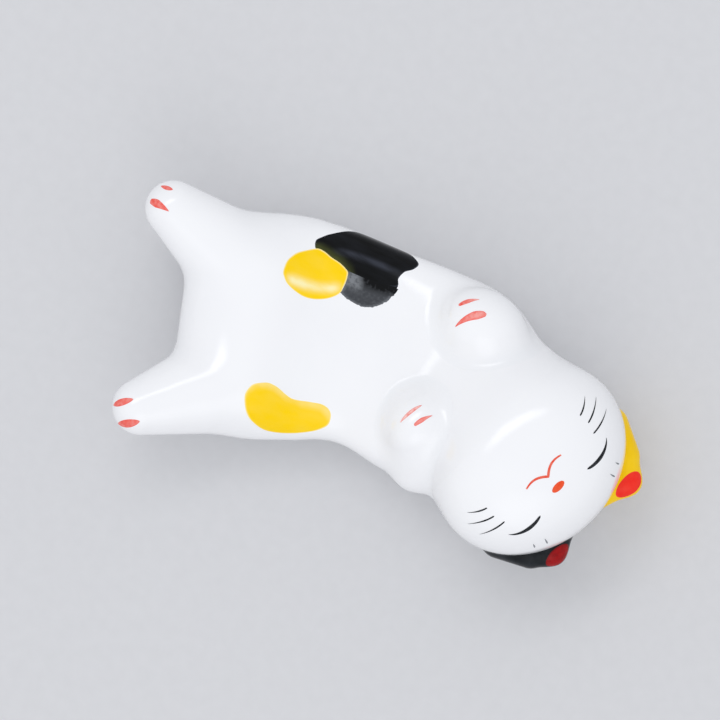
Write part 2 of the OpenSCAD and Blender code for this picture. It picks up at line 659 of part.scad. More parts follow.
// Toe strokes, in shares of the radius of the paw or foot, measured over its round top
function ball_ray(middle, shares) = let(
    far = norm(shares),
    turn = far * 180 / PI
  ) [middle, [sin(turn) * shares.x / max(far, tiny_share), sin(turn) * shares.y / max(far, tiny_share), cos(turn)]];
module toe_strokes(middle, radius, strokes_shares, widths_share, extent) {
  color("salmon") for (i = [0 : len(strokes_shares) - 1]) {
    rows = brushed(strokes_shares[i], widths_share[i] * toe_width / radius, plain_tail_share);
    stroke([for (row = rows) [for (p = row) ball_ray(middle, p)]], extent);
  }
}
right_paw_shares = [[[-0.83, 0.17], [-0.67, 0.47], [-0.45, 0.63]], [[-0.62, -0.43], [-0.48, 0.03], [-0.12, 0.35]]];
left_paw_shares = [[[-0.56, -0.22], [-0.46, 0.2], [-0.24, 0.52]], [[-0.1, -0.08], [0, 0.2], [0.2, 0.42]]];
right_foot_shares = [[[-1.12, 0.2], [-0.7, 0.14], [-0.14, -0.18]], [[-0.86, 0.92], [-0.5, 0.86], [-0.24, 0.78]]];
left_foot_shares = [[[-1.2, -0.1], [-0.8, 0], [-0.32, 0.22]], [[-1, -0.92], [-0.4, -0.78], [0.06, -0.54]]];
right_paw_widths_share = [0.6, 0.95];
left_paw_widths_share = [0.6, 0.65];
right_foot_widths_share = [1, 0.75];
left_foot_widths_share = [0.8, 1.1];
module right_paw_strokes() {
  toe_strokes(paw(1), paw_radius, right_paw_shares, right_paw_widths_share, with_foreleg(1));
}
module left_paw_strokes() {
  toe_strokes(paw(-1), paw_radius, left_paw_shares, left_paw_widths_share, with_foreleg(-1));
}
module right_foot_strokes() {
  toe_strokes(foot(1), foot_radius, right_foot_shares, right_foot_widths_share, BARE);
}
module left_foot_strokes() {
  toe_strokes(foot(-1), foot_radius, left_foot_shares, left_foot_widths_share, BARE);
}

// The red mark inside each ear, wrapped over its round tip
right_inner_ear_shift_share = 0.28;
left_inner_ear_shift_share = 0.5;
module inner_ear(side) {
  shift_share = side > 0 ? right_inner_ear_shift_share : left_inner_ear_shift_share;
  heart = [shift_share * inner_ear_width, 0];
  rings = [for (i = [1 : nose_rings]) [for (k = [0 : nose_count - 1])
    let(a = 360 * k / nose_count)
    ball_ray(ear_tip(side),
      (heart + [cos(a) * inner_ear_width, sin(a) * inner_ear_length] / 2 * i / nose_rings) / ear_tip_radius)]];
  color("red") enamel_disc(ball_ray(ear_tip(side), heart / ear_tip_radius), rings, ear_skin(side));
}
module right_inner_ear() { inner_ear(1); }
module left_inner_ear() { inner_ear(-1); }

torso();
head();
right_hind_leg();
left_hind_leg();
right_foreleg();
left_foreleg();
right_ear();
left_ear();
yellow_belly_spot();
yellow_flank_patch();
black_flank_patch();
grey_wash_patch();
right_inner_ear();
left_inner_ear();
right_eye();
left_eye();
nose();
mouth();
right_whiskers();
left_whiskers();
right_brow_strokes();
left_brow_strokes();
right_paw_strokes();
left_paw_strokes();
right_foot_strokes();
left_foot_strokes();
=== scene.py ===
# %% [markdown]
# # A sleeping calico cat in glazed porcelain
# The object is a chopstick rest: a small cat that lies asleep on its back, with its paws and feet in
# the air and a low belly that the chopsticks lie across. It was cast in white porcelain, glazed, and
# painted with a soft brush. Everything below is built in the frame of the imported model, so each
# piece already has its place, and the lengths are in millimetres until a mesh is made.

import bmesh
import bpy
import numpy as np
from mathutils import Matrix, Vector


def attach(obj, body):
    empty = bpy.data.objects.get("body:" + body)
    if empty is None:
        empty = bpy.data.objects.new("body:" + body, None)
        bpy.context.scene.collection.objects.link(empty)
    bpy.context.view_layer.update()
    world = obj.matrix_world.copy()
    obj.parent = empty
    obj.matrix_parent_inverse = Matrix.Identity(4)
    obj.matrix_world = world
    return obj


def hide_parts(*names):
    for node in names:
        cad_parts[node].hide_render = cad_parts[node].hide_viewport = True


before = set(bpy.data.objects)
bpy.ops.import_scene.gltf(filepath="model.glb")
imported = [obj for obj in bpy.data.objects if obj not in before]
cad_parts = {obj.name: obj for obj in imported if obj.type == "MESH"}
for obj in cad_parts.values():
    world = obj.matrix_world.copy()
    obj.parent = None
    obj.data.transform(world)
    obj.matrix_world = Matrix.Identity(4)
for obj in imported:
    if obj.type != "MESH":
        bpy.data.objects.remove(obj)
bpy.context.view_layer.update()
print("solids in the frame:", len(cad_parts))

# %% [markdown]
# The camera comes first, because the rest is judged through it. The photograph looks straight down
# from far away, with the cat turned on the table. A long lens at a long distance gives nearly
# parallel lines of sight, so heights hardly shift a point sideways. The camera is aimed at the point
# of the table that lies in the middle of the photograph, and turned as the cat is.

# %% The camera
MM = 0.001
VIEW_MIDDLE, VIEW_WIDTH, VIEW_TURN = Vector((-2.47, 2.67, 8.0)), 83.14, 26.7
LENS, SENSOR = 600.0, 36.0

lens = bpy.data.cameras.new("photo_lens")
lens.lens, lens.sensor_width = LENS, SENSOR
lens.clip_start, lens.clip_end = 0.1, 10.0
camera = bpy.data.objects.new("photo_camera", lens)
bpy.context.scene.collection.objects.link(camera)
camera.location = (VIEW_MIDDLE + Vector((0, 0, VIEW_WIDTH * LENS / SENSOR))) * MM
camera.rotation_euler = (0.0, 0.0, np.radians(VIEW_TURN))
bpy.context.scene.camera = camera
print("camera height:", round(camera.location.z, 3), "m")

# %% [markdown]
# ## The form of the clay
# A cast figure has no straight edge anywhere: each limb swells out of the next. It could be sculpted
# by hand or modelled as a cage of faces, but then no size could be changed by itself. Here it is a
# formula that is negative inside the clay. A rounded blob makes the hips, the chest and the head, a
# tapered limb makes the legs and the ears, and a soft join melts two of them together with a fillet
# of a chosen reach. These are the formulas of the solid model, worked out for many points at once.

# %% Joining and carving two forms
def join(a, b, reach):
    """The lesser of two forms, with a soft fillet where they meet."""
    h = np.maximum(reach - np.abs(a - b), 0) / reach
    return np.minimum(a, b) - h * h * reach / 4


def carve(a, b, reach):
    """The first form with the second cut away, with a soft edge."""
    return -join(-a, b, reach)


print("a fillet with a reach of 4 mm fills a corner by", -join(0.0, 0.0, 4.0), "mm")

# %% A full rounded form and a tapered limb
FULLNESS = 2.4  # 2 is an ellipsoid, and more is boxier
TINY = 1e-4


def blob(p, middle, size):
    q = p - middle
    plan = np.hypot(q[..., 0] / size[0], q[..., 1] / size[1]) * 2
    tall = np.abs(q[..., 2]) / size[2] * 2
    g = (plan**FULLNESS + tall**FULLNESS) ** (1 / FULLNESS)
    return np.maximum(np.linalg.norm(q, axis=-1), TINY) * (g - 1) / np.maximum(g, TINY)


def limb(p, a, b, a_radius, b_radius):
    reach = np.linalg.norm(b - a)
    u = (b - a) / reach
    along = (p - a) @ u
    off = np.linalg.norm(p - a - along[..., None] * u, axis=-1)
    slope = (a_radius - b_radius) / reach
    h = np.clip((along - off * slope / np.sqrt(1 - slope * slope)) / reach, 0, 1)
    nearest = a + h[..., None] * (b - a)
    return np.linalg.norm(p - nearest, axis=-1) - a_radius - h * (b_radius - a_radius)


print("formulas ready, fullness", FULLNESS)

# %% [markdown]
# The sizes are those of the real object, as [along the back, across, up] on a cat that lies straight.
# Its right side is the positive one. The curl of the body is put in afterwards, which keeps every
# size below easy to read.

# %% Sizes of the clay
CURL_ANGLE, CURL_LENGTH = 34.6, 24.1
HIPS, HIPS_SIZE = np.array([-14.6, 0.25, 5.0]), (25.2, 26.0, 13.2)
CHEST, CHEST_SIZE = np.array([2.6, 0, 5.2]), (23.0, 24.3, 14.6)
WAIST_BLEND = 8.7
TROUGH_AT, TROUGH_LEVEL, TROUGH_RADIUS, TROUGH_BLEND = -6.5, 9.6, 22.0, 3.0
HEAD, HEAD_SIZE, NECK_BLEND = np.array([17.4, 0, 9.4]), (20.4, 24.1, 19.2), 6.3
THIGH, THIGH_RADIUS, THIGH_SHIFT = np.array([-20.0, 6.2, 6.2]), 6.2, 0.55
FOOT, FOOT_RADIUS = np.array([-30.2, 11.6, 10.4]), 3.25
CROTCH_BLEND, HIP_BLEND = 7.4, 3.4
SHOULDERS = {1: np.array([4.6, 7.1, 6.4]), -1: np.array([7.8, -7.6, 6.4])}
PAWS = {1: np.array([4.6, 8.0, 10.2]), -1: np.array([4.4, -5.5, 10.2])}
SHOULDER_RADIUS, PAW_RADIUS, PAW_BLEND = 4.9, 4.3, 1.8
EAR_LEVEL, EAR_CREASE = 7.4, 0.26
EAR_OUT, EAR_TIP_SIDE, EAR_TIP_RADIUS = {1: 1.1, -1: 0.45}, 5.9, 1.45
EAR_OUTER_DEPTH, EAR_OUTER_SIDE, EAR_OUTER_RADIUS = 2.65, 9.1, 2.3
EAR_EDGE_DEPTH, EAR_EDGE_SIDE, EAR_EDGE_RADIUS = 0.3, 7.6, 2.05
EAR_INNER_DEPTH, EAR_INNER_SIDE, EAR_INNER_RADIUS = 1.55, {1: 2.7, -1: 3.8}, 2.0
HIP_JOINT_AT = THIGH[0] - THIGH_RADIUS * 0.17
NECK_JOINT_AT = HEAD[0] - HEAD_SIZE[0] * 0.38
BASE_EDGE = 0.9


def mirrored(v, side):
    return np.array([v[0], side * v[1], v[2]])


def thigh(side):
    """The middle of a thigh; both are shifted a little towards the inner side of the curl."""
    return mirrored(THIGH, side) - np.array([0, THIGH_SHIFT, 0])


def by_crown(side, side_way, depth):
    """A place at a depth inside the outline of the head."""
    crown_at = HEAD[0] + HEAD_SIZE[0] / 2 * np.sqrt(1 - (side_way * 2 / HEAD_SIZE[1]) ** 2)
    return np.array([crown_at - depth, side * side_way, EAR_LEVEL])


EAR_TIPS = {side: by_crown(side, EAR_TIP_SIDE, -EAR_OUT[side]) for side in (1, -1)}
EAR_OUTERS = {side: by_crown(side, EAR_OUTER_SIDE, EAR_OUTER_DEPTH) for side in (1, -1)}
EAR_EDGES = {side: by_crown(side, EAR_EDGE_SIDE, EAR_EDGE_DEPTH) for side in (1, -1)}
EAR_INNERS = {side: by_crown(side, EAR_INNER_SIDE[side], EAR_INNER_DEPTH) for side in (1, -1)}
print("joints of the clay at", round(HIP_JOINT_AT, 2), "and", round(NECK_JOINT_AT, 2), "mm")

# %% The whole clay, without and with the forelegs and ears
def bare_clay(p):
    body = join(blob(p, HIPS, HIPS_SIZE), blob(p, CHEST, CHEST_SIZE), WAIST_BLEND)
    above = p[..., 2] - TROUGH_LEVEL - TROUGH_RADIUS
    trough = np.hypot(p[..., 0] - TROUGH_AT, above) - TROUGH_RADIUS
    legs = [limb(p, thigh(s), mirrored(FOOT, s), THIGH_RADIUS, FOOT_RADIUS) for s in (1, -1)]
    body = join(carve(body, trough, TROUGH_BLEND), join(*legs, CROTCH_BLEND), HIP_BLEND)
    return join(body, blob(p, HEAD, HEAD_SIZE), NECK_BLEND)


def with_foreleg(side):
    def form(p):
        leg = limb(p, SHOULDERS[side], PAWS[side], SHOULDER_RADIUS, PAW_RADIUS)
        return join(bare_clay(p), leg, PAW_BLEND)

    return form


def ear_form(side):
    """A rounded triangle between four balls: outer root, bulge of the edge, tip and inner root."""
    tip, edge = EAR_TIPS[side], EAR_EDGES[side]

    def form(p):
        root_to_edge = limb(p, EAR_OUTERS[side], edge, EAR_OUTER_RADIUS, EAR_EDGE_RADIUS)
        edge_to_tip = limb(p, edge, tip, EAR_EDGE_RADIUS, EAR_TIP_RADIUS)
        inner = limb(p, EAR_INNERS[side], tip, EAR_INNER_RADIUS, EAR_TIP_RADIUS)
        return join(np.minimum(root_to_edge, edge_to_tip), inner, EAR_TIP_RADIUS)

    return form


def with_ear(side):
    ear = ear_form(side)
    return lambda p: join(bare_clay(p), ear(p), EAR_CREASE)


def standing_clay(p):
    """The bare clay on its flat base, with the softly rounded edge that sanding leaves."""
    return -join(-bare_clay(p), p[..., 2], BASE_EDGE)


print("belly height over the trough:", TROUGH_LEVEL, "mm")

# %% [markdown]
# The cat curls to one side in its sleep. A bend modifier could do that to a finished mesh, but the
# places of the paint and the directions of the skin have to follow exactly, so it is a formula too.
# The middle of the back runs along one circle between the hips and the neck. A point is carried
# along it, and a direction is turned with it, a little stretched on the inner side of the bend.

# %% The curl of the body
BEND_RADIUS = CURL_LENGTH / np.radians(CURL_ANGLE)
CURL_HALF = CURL_LENGTH / 2


def heading(s):
    return -np.radians(CURL_ANGLE) * np.clip(s / CURL_LENGTH, -0.5, 0.5)


def curled(p):
    turn = heading(p[..., 0])
    past = p[..., 0] - np.clip(p[..., 0], -CURL_HALF, CURL_HALF)
    x = -BEND_RADIUS * np.sin(turn) + past * np.cos(turn) - p[..., 1] * np.sin(turn)
    y = -BEND_RADIUS * (1 - np.cos(turn)) + past * np.sin(turn) + p[..., 1] * np.cos(turn)
    return np.stack([x, y, p[..., 2]], -1)


def curled_direction(p, d):
    turn = heading(p[..., 0])
    inside = np.abs(p[..., 0]) < CURL_HALF
    along = d[..., 0] / np.where(inside, 1 + p[..., 1] / BEND_RADIUS, 1)
    x = along * np.cos(turn) - d[..., 1] * np.sin(turn)
    y = along * np.sin(turn) + d[..., 1] * np.cos(turn)
    out = np.stack([x, y, d[..., 2]], -1)
    return out / np.linalg.norm(out, axis=-1, keepdims=True)


# %% The origin lies under the middle of the cat's outline
def reach_of(ball, radius, way):
    return curled(np.asarray(ball, float)) @ np.asarray(way, float) + radius


left = -reach_of(mirrored(FOOT, 1), FOOT_RADIUS, [-1, 0, 0])
right = reach_of(EAR_TIPS[1], EAR_TIP_RADIUS, [1, 0, 0])
low = -reach_of(mirrored(FOOT, -1), FOOT_RADIUS, [0, -1, 0])
high = reach_of([CHEST[0], CHEST_SIZE[1] / 2, 0], 0, [0, 1, 0])
ORIGIN = np.array([(left + right) / 2, (low + high) / 2, 0])


def placed(p):
    return (curled(p) - ORIGIN) * MM


print("origin under the outline:", ORIGIN.round(2), "mm")

# %% [markdown]
# ## From formula to skin
# The glazed skin is one even surface. Metaballs would give such a skin too, but without exact sizes,
# so it is made in three moves. A rough shape of balls is melted together by the voxel
# remesher, each point is slid along the slope of the formula until it lies exactly on the form, and
# the points are evened out. The outward direction at each point comes from the same slope, so a
# highlight runs across from one piece to the next without a seam, as it does on one fired glaze.

# %% The slope of a form, and sliding points onto it
SLOPE_STEP = 1e-3
LEAST_SLOPE, LONGEST_MOVE = 0.2, 1.5
CREASE_REACH, CREASE_BEND, CREASE_FADE = 1.3, 1.1, 1.5


def slope(form, p):
    steps = np.eye(3) * SLOPE_STEP
    return np.stack([form(p + e) - form(p - e) for e in steps], -1) / (2 * SLOPE_STEP)


def outward(form, p):
    g = slope(form, p)
    return g / np.maximum(np.linalg.norm(g, axis=-1, keepdims=True), TINY)


def settled(form, p, rounds, held=None):
    """Points moved onto the form; held says which axes of which points stay as they are."""
    for _ in range(rounds):
        g = slope(form, p)
        if held is not None:
            g = np.where(held, 0, g)
        move = form(p) / np.maximum((g * g).sum(-1), LEAST_SLOPE)
        p = p - np.clip(move, -LONGEST_MOVE, LONGEST_MOVE)[..., None] * g
    return p


def hollowness(form, p):
    """0 on open skin, 1 in a tight crease: pooled glaze and painted shade go there."""
    around = sum(form(p + e) + form(p - e) for e in np.eye(3) * CREASE_REACH)
    bend = (around - 6 * form(p)) / CREASE_REACH**2
    return np.clip(-bend / CREASE_BEND, 0, 1) ** CREASE_FADE


print("slope step:", SLOPE_STEP, "mm")

# %% A rough start made of balls, melted together
LEG_BALLS = 7


def ball_cluster():
    bm = bmesh.new()
    balls = [(HIPS, HIPS_SIZE), (CHEST, CHEST_SIZE), (HEAD, HEAD_SIZE)]
    for side in (1, -1):
        for share in np.linspace(0, 1, LEG_BALLS):
            middle = thigh(side) + share * (mirrored(FOOT, side) - thigh(side))
            width = 2 * (THIGH_RADIUS + share * (FOOT_RADIUS - THIGH_RADIUS))
            balls.append((middle, (width,) * 3))
    for middle, size in balls:
        place = Matrix.Translation(Vector(middle)) @ Matrix.Diagonal((*size, 1))
        bmesh.ops.create_icosphere(bm, subdivisions=4, radius=0.5, matrix=place)
    mesh = bpy.data.meshes.new("rough_cat")
    bm.to_mesh(mesh)
    bm.free()
    return mesh


def melted(mesh, grain):
    """The mesh remeshed with even faces of a given grain."""
    holder = bpy.data.objects.new("melting", mesh)
    bpy.context.scene.collection.objects.link(holder)
    remesh = holder.modifiers.new("melt", "REMESH")
    remesh.mode, remesh.voxel_size, remesh.adaptivity = "VOXEL", grain, 0.0
    ready = holder.evaluated_get(bpy.context.evaluated_depsgraph_get())
    result = bpy.data.meshes.new_from_object(ready)
    bpy.data.objects.remove(holder)
    bpy.data.meshes.remove(mesh)
    return result


print("hips, chest, head and two legs of", LEG_BALLS, "balls each")

# %% Even out the points and lay them on the form
ROUGH_GRAIN, FINE_GRAIN = 0.6, 0.3
EVENING = 0.6


def evened(mesh, form, rounds):
    """Each point moved towards the middle of its neighbours and back onto the form."""
    p = np.zeros(len(mesh.vertices) * 3)
    mesh.vertices.foreach_get("co", p)
    p = settled(form, p.reshape(-1, 3), 8)
    ends = np.zeros(len(mesh.edges) * 2, int)
    mesh.edges.foreach_get("vertices", ends)
    a, b = ends.reshape(-1, 2).T
    count = np.bincount(a, minlength=len(p)) + np.bincount(b, minlength=len(p))
    for _ in range(rounds):
        total = np.zeros_like(p)
        for axis in range(3):
            total[:, axis] = np.bincount(a, p[b, axis], len(p)) + np.bincount(b, p[a, axis], len(p))
        p = settled(form, (1 - EVENING) * p + EVENING * total / count[:, None], 2)
    mesh.vertices.foreach_set("co", settled(form, p, 3).ravel())
    return mesh


skin = evened(melted(ball_cluster(), ROUGH_GRAIN), standing_clay, 2)
skin = evened(melted(skin, FINE_GRAIN), standing_clay, 4)
print("skin points:", len(skin.vertices))

# %% [markdown]
# The potter casts the torso, the head and the hind legs and lutes them together with slip, so each is
# a closed piece of its own that meets the next on a flat face. A boolean could cut them, but a flat
# cut is exact and quick with the bisect tool. It is made while the cat is still straight, and each
# opening that it leaves is closed with a flat face.

# %% Cutting the skin into closed pieces
ON_CUT = 1e-4


def cut_piece(cuts):
    """A closed part of the skin: each cut is (axis, where, which side is kept)."""
    bm = bmesh.new()
    bm.from_mesh(skin)
    seam = bm.faces.layers.int.new("seam")
    for axis, where, keep in cuts:
        line = np.eye(3)[axis]
        plane = {"plane_co": Vector(line * where), "plane_no": Vector(line * keep)}
        everything = list(bm.verts) + list(bm.edges) + list(bm.faces)
        bmesh.ops.bisect_plane(bm, geom=everything, dist=1e-5, clear_inner=True, **plane)
        for v in bm.verts:
            if abs(v.co[axis] - where) < ON_CUT:
                v.co[axis] = where
        rim = [e for e in bm.edges if e.is_boundary]
        for face in bmesh.ops.holes_fill(bm, edges=rim, sides=0)["faces"]:
            face[seam] = 1
    bmesh.ops.triangulate(bm, faces=[f for f in bm.faces if f[seam]])
    bmesh.ops.recalc_face_normals(bm, faces=list(bm.faces))
    bm.verts.index_update()
    points = np.array([v.co for v in bm.verts])
    faces = [[v.index for v in f.verts] for f in bm.faces]
    is_skin = np.array([f[seam] == 0 for f in bm.faces])
    bm.free()
    held = np.zeros(points.shape, bool)
    for axis, where, _ in cuts:
        held[:, axis] |= points[:, axis] == where
    return settled(standing_clay, points, 3, held), faces, is_skin


print("cuts are closed with flat faces")

# %% [markdown]
# ## Making the pieces
# On the table each piece has its place and its finish, and in the model it stands for one solid. So
# it gets its mesh in metres at its final place, the outward directions of the formula on its skin,
# and the name of that solid. Smooth shading alone would guess the directions from the faces, and
# the glaze would show it as faint facets.

# %% One function makes a piece
def make_piece(kind, node, shape, form, marks, finish):
    """A piece from a shape on the straight cat, in place of a solid. Its paint reads the marks."""
    points, faces, is_skin = shape
    mesh = bpy.data.meshes.new(kind + node)
    mesh.from_pydata(placed(points).tolist(), [], [list(map(int, f)) for f in faces])
    mesh.polygons.foreach_set("use_smooth", np.ones(len(mesh.polygons), bool))
    for mark, values in marks.items():
        layer = mesh.attributes.new(mark, "FLOAT", "POINT")
        layer.data.foreach_set("value", np.asarray(values, np.float32))
    corners = np.zeros(len(mesh.loops), int)
    mesh.loops.foreach_get("vertex_index", corners)
    sizes = np.zeros(len(mesh.polygons), int)
    mesh.polygons.foreach_get("loop_total", sizes)
    owner = np.repeat(np.arange(len(sizes)), sizes)
    flat = np.zeros(len(mesh.polygons) * 3)
    mesh.polygons.foreach_get("normal", flat)
    flat = flat.reshape(-1, 3)[owner]
    smooth = curled_direction(points, outward(form, points))[corners]
    directions = np.where(is_skin[owner][:, None], smooth, flat)
    mesh.normals_split_custom_set(directions.tolist())
    mesh.materials.append(finish)
    piece = bpy.data.objects.new(kind + node, mesh)
    bpy.context.scene.collection.objects.link(piece)
    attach(piece, "root")
    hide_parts(node)
    print(f"{piece.name}: {len(mesh.vertices)} points")


# %% [markdown]
# ## Finishes
# Porcelain is white clay fired until it is glassy. The paint is enamel that melts into the clear
# glaze, so all of it shares one wet gloss, and what tells one finish from another is its colour and
# how evenly the brush laid it.

# %% Colours as they are seen, turned into light, and one helper for nodes
def linear(hex_colour, alpha=1.0):
    shades = [int(hex_colour[i : i + 2], 16) / 255 for i in (1, 3, 5)]
    light = [c / 12.92 if c <= 0.04045 else ((c + 0.055) / 1.055) ** 2.4 for c in shades]
    return (*light, alpha)


def add_node(tree, kind, inputs=None, **settings):
    """One node with its settings, and its sockets set or linked."""
    node = tree.nodes.new("ShaderNode" + kind)
    for name, value in settings.items():
        setattr(node, name, value)
    for socket, value in (inputs or {}).items():
        if isinstance(value, bpy.types.NodeSocket):
            tree.links.new(value, node.inputs[socket])
        else:
            node.inputs[socket].default_value = value
    return node


def new_finish(name):
    finish = bpy.data.materials.new(name)
    finish.use_nodes = True
    finish.node_tree.nodes.clear()
    return finish, finish.node_tree


def per_mm(size):
    """Texture scale, in repeats for each metre, for a pattern of a given size in millimetres."""
    return 1 / (size * MM)


print("white glaze in light:", [round(c, 3) for c in linear("#F3F4F6")[:3]])

# %% [markdown]
# ** Clear glaze over white porcelain.** The glaze is a glassy coat a third of a millimetre thick, with
# an index of about 1.5. It is nearly mirror smooth, but the clay under it was cast and sponged by
# hand, so reflections wander a little. In creases it gathers and turns faintly blue-grey, and the
# same tint is painted shade there, deeper in tighter creases. On the flat base it was wiped off
# before firing, and the bare clay there is matt and slightly warm. A clear shell over a white body
# would also do, but it is slow to render, so one shader carries both.

# %% Clear glaze over white porcelain: patterns
GLAZE_IOR, GLAZE_ROUGHNESS = 1.52, 0.12  # sharp bright reflections
BARE_ROUGHNESS = 0.78  # fired bare clay, like eggshell
SPONGE_SIZE, RIPPLE_SIZE = 9.0, 3.0  # sponged hollows bend a reflection slowly
GRIT_SIZE = 0.35  # real grit is finer, and it is drawn coarse enough to show
WAVE_DEPTH, GRIT_DEPTH = 0.035, 0.05
WIPED_LEVEL = 0.30  # the glaze ends this far above the table

glaze, tree = new_finish("clear_glaze_on_porcelain")
place = add_node(tree, "TexCoord").outputs["Object"]
clouds, ripple, grit = [
    add_node(
        tree, "TexNoise", {"Vector": place, "Scale": per_mm(size), "Detail": detail}
    ).outputs["Fac"]
    for size, detail in [(SPONGE_SIZE, 2.0), (RIPPLE_SIZE, 1.0), (GRIT_SIZE, 3.0)]
]
hollow = add_node(tree, "Attribute", attribute_name="hollow").outputs["Fac"]
height = add_node(tree, "SeparateXYZ", {0: place}).outputs["Z"]
fade = {"Value": height, 1: WIPED_LEVEL * 1.3 * MM, 2: WIPED_LEVEL * MM, 3: 0.0, 4: 1.0}
wiped = add_node(tree, "MapRange", fade).outputs[0]
print("patterns of", SPONGE_SIZE, RIPPLE_SIZE, "and", GRIT_SIZE, "mm")

# %% Clear glaze over white porcelain: colour and gloss
open_white = add_node(
    tree, "Mix", {0: clouds, 6: linear("#F1F1F3"), 7: linear("#F6F6F7")}, data_type="RGBA"
).outputs[2]
# Creases turn blue-grey: pooled glaze, and painted shade in the creases as well.
pooled_and_shaded = add_node(
    tree, "Mix", {0: hollow, 6: open_white, 7: linear("#E3E7EB")}, data_type="RGBA"
).outputs[2]
bare = add_node(
    tree, "Mix", {0: grit, 6: linear("#DDD8CE"), 7: linear("#F0ECE4")}, data_type="RGBA"
).outputs[2]
colour = add_node(tree, "Mix", {0: wiped, 6: pooled_and_shaded, 7: bare}, data_type="RGBA").outputs[2]
roughness = add_node(tree, "MapRange", {"Value": wiped, 3: GLAZE_ROUGHNESS, 4: BARE_ROUGHNESS})
waves = add_node(tree, "Math", {0: clouds, 1: ripple}, operation="ADD").outputs[0]
grains = add_node(tree, "Math", {0: grit, 1: wiped}, operation="MULTIPLY").outputs[0]
relief = {"Height": waves, "Strength": 1.0, "Distance": WAVE_DEPTH * MM}
wavy = add_node(tree, "Bump", relief).outputs[0]
relief = {"Height": grains, "Strength": 1.0, "Distance": GRIT_DEPTH * MM, "Normal": wavy}
sockets = {
    "Base Color": colour,
    "Roughness": roughness.outputs[0],
    "IOR": GLAZE_IOR,
    "Normal": add_node(tree, "Bump", relief).outputs[0],
}
shader = add_node(tree, "BsdfPrincipled", sockets)
add_node(tree, "OutputMaterial", {0: shader.outputs[0]})
print("glaze roughness", GLAZE_ROUGHNESS, "bare clay", BARE_ROUGHNESS)

# %% [markdown]
# **Brushed enamel.** Enamel is glass ground with a metal oxide and laid on with a soft brush. Where
# the brush was loaded it is deep, where it ran dry the white shows through, and it thins towards
# the edge of each stroke. A painted image could show that, but it blurs close up. One function mixes
# it for every paint instead: a deep colour, a thin colour, the size of the brush marks, the way that
# they run, how far the thin rim reaches, and how streaked the paint is. The marks on a film say
# where its rim is, where it is dry, and where another paint tinted it.

# %% Brushed enamel
ENAMEL_IOR, ENAMEL_ROUGHNESS = 1.48, 0.14  # glass, a little softer than the clear glaze
ENAMEL_SHINE = 0.13  # less mirror than the open glaze, so that the colour stays deep
LOADED, EMPTY = 0.35, 0.68  # streaks between these go from deep to thin
BREAKS, UNBROKEN = (0.3, 0.6), 0.35  # and they break up a dry or tinted place
RAGGED, RIM_END = 0.8, 1.4  # how far streaks break the rim, and where it ends, in its reach
BRISTLE_DEPTH = 0.008


def brushed_enamel(name, deep, thin, mark_size, stretch, rim_reach, streaked, tint=None):
    """Enamel that is thin at its rim and where the brush ran dry, and deep elsewhere."""
    finish, tree = new_finish(name)
    place = add_node(tree, "TexCoord").outputs["Object"]
    run = add_node(tree, "Mapping", {"Vector": place, "Scale": stretch}).outputs[0]
    pattern = {"Vector": run, "Scale": per_mm(mark_size), "Detail": 3.0}
    streaks = add_node(tree, "TexNoise", pattern).outputs["Fac"]
    rim = add_node(tree, "Attribute", attribute_name="rim").outputs["Fac"]
    dry = add_node(tree, "Attribute", attribute_name="dry").outputs["Fac"]
    load = add_node(tree, "MapRange", {"Value": streaks, 1: LOADED, 2: EMPTY, 3: 0.0, 4: streaked})
    ragged = add_node(
        tree, "Math", {0: streaks, 1: rim_reach * RAGGED, 2: rim}, operation="MULTIPLY_ADD"
    ).outputs[0]
    fade = {"Value": ragged, 1: 0.0, 2: rim_reach * RIM_END, 3: 1.0, 4: 0.0}
    edge = add_node(tree, "MapRange", fade)
    breaks = {"Value": streaks, 1: BREAKS[0], 2: BREAKS[1], 3: UNBROKEN, 4: 1.0}
    broken = add_node(tree, "MapRange", breaks).outputs[0]
    dry = add_node(tree, "Math", {0: dry, 1: broken}, operation="MULTIPLY").outputs[0]
    thinness = load.outputs[0]
    for cause in (edge.outputs[0], dry):
        thinness = add_node(tree, "Math", {0: thinness, 1: cause}, operation="MAXIMUM").outputs[0]
    shades = {0: thinness, 6: linear(deep), 7: linear(thin)}
    colour = add_node(tree, "Mix", shades, data_type="RGBA").outputs[2]
    if tint:
        mixed = add_node(tree, "Attribute", attribute_name="tint").outputs["Fac"]
        mixed = add_node(tree, "Math", {0: mixed, 1: broken}, operation="MULTIPLY").outputs[0]
        shades = {0: mixed, 6: colour, 7: linear(tint)}
        colour = add_node(tree, "Mix", shades, data_type="RGBA").outputs[2]
    relief = {"Height": streaks, "Strength": 1.0, "Distance": BRISTLE_DEPTH * MM}
    sockets = {
        "Base Color": colour,
        "Roughness": ENAMEL_ROUGHNESS,
        "IOR": ENAMEL_IOR,
        "Specular IOR Level": ENAMEL_SHINE,
        "Normal": add_node(tree, "Bump", relief).outputs[0],
    }
    shader = add_node(tree, "BsdfPrincipled", sockets)
    add_node(tree, "OutputMaterial", {0: shader.outputs[0]})
    return finish


print("enamel roughness", ENAMEL_ROUGHNESS)

# %% The paints on this cat
EVEN, ALONG = (1.0, 1.0, 1.0), (0.35, 1.0, 1.0)
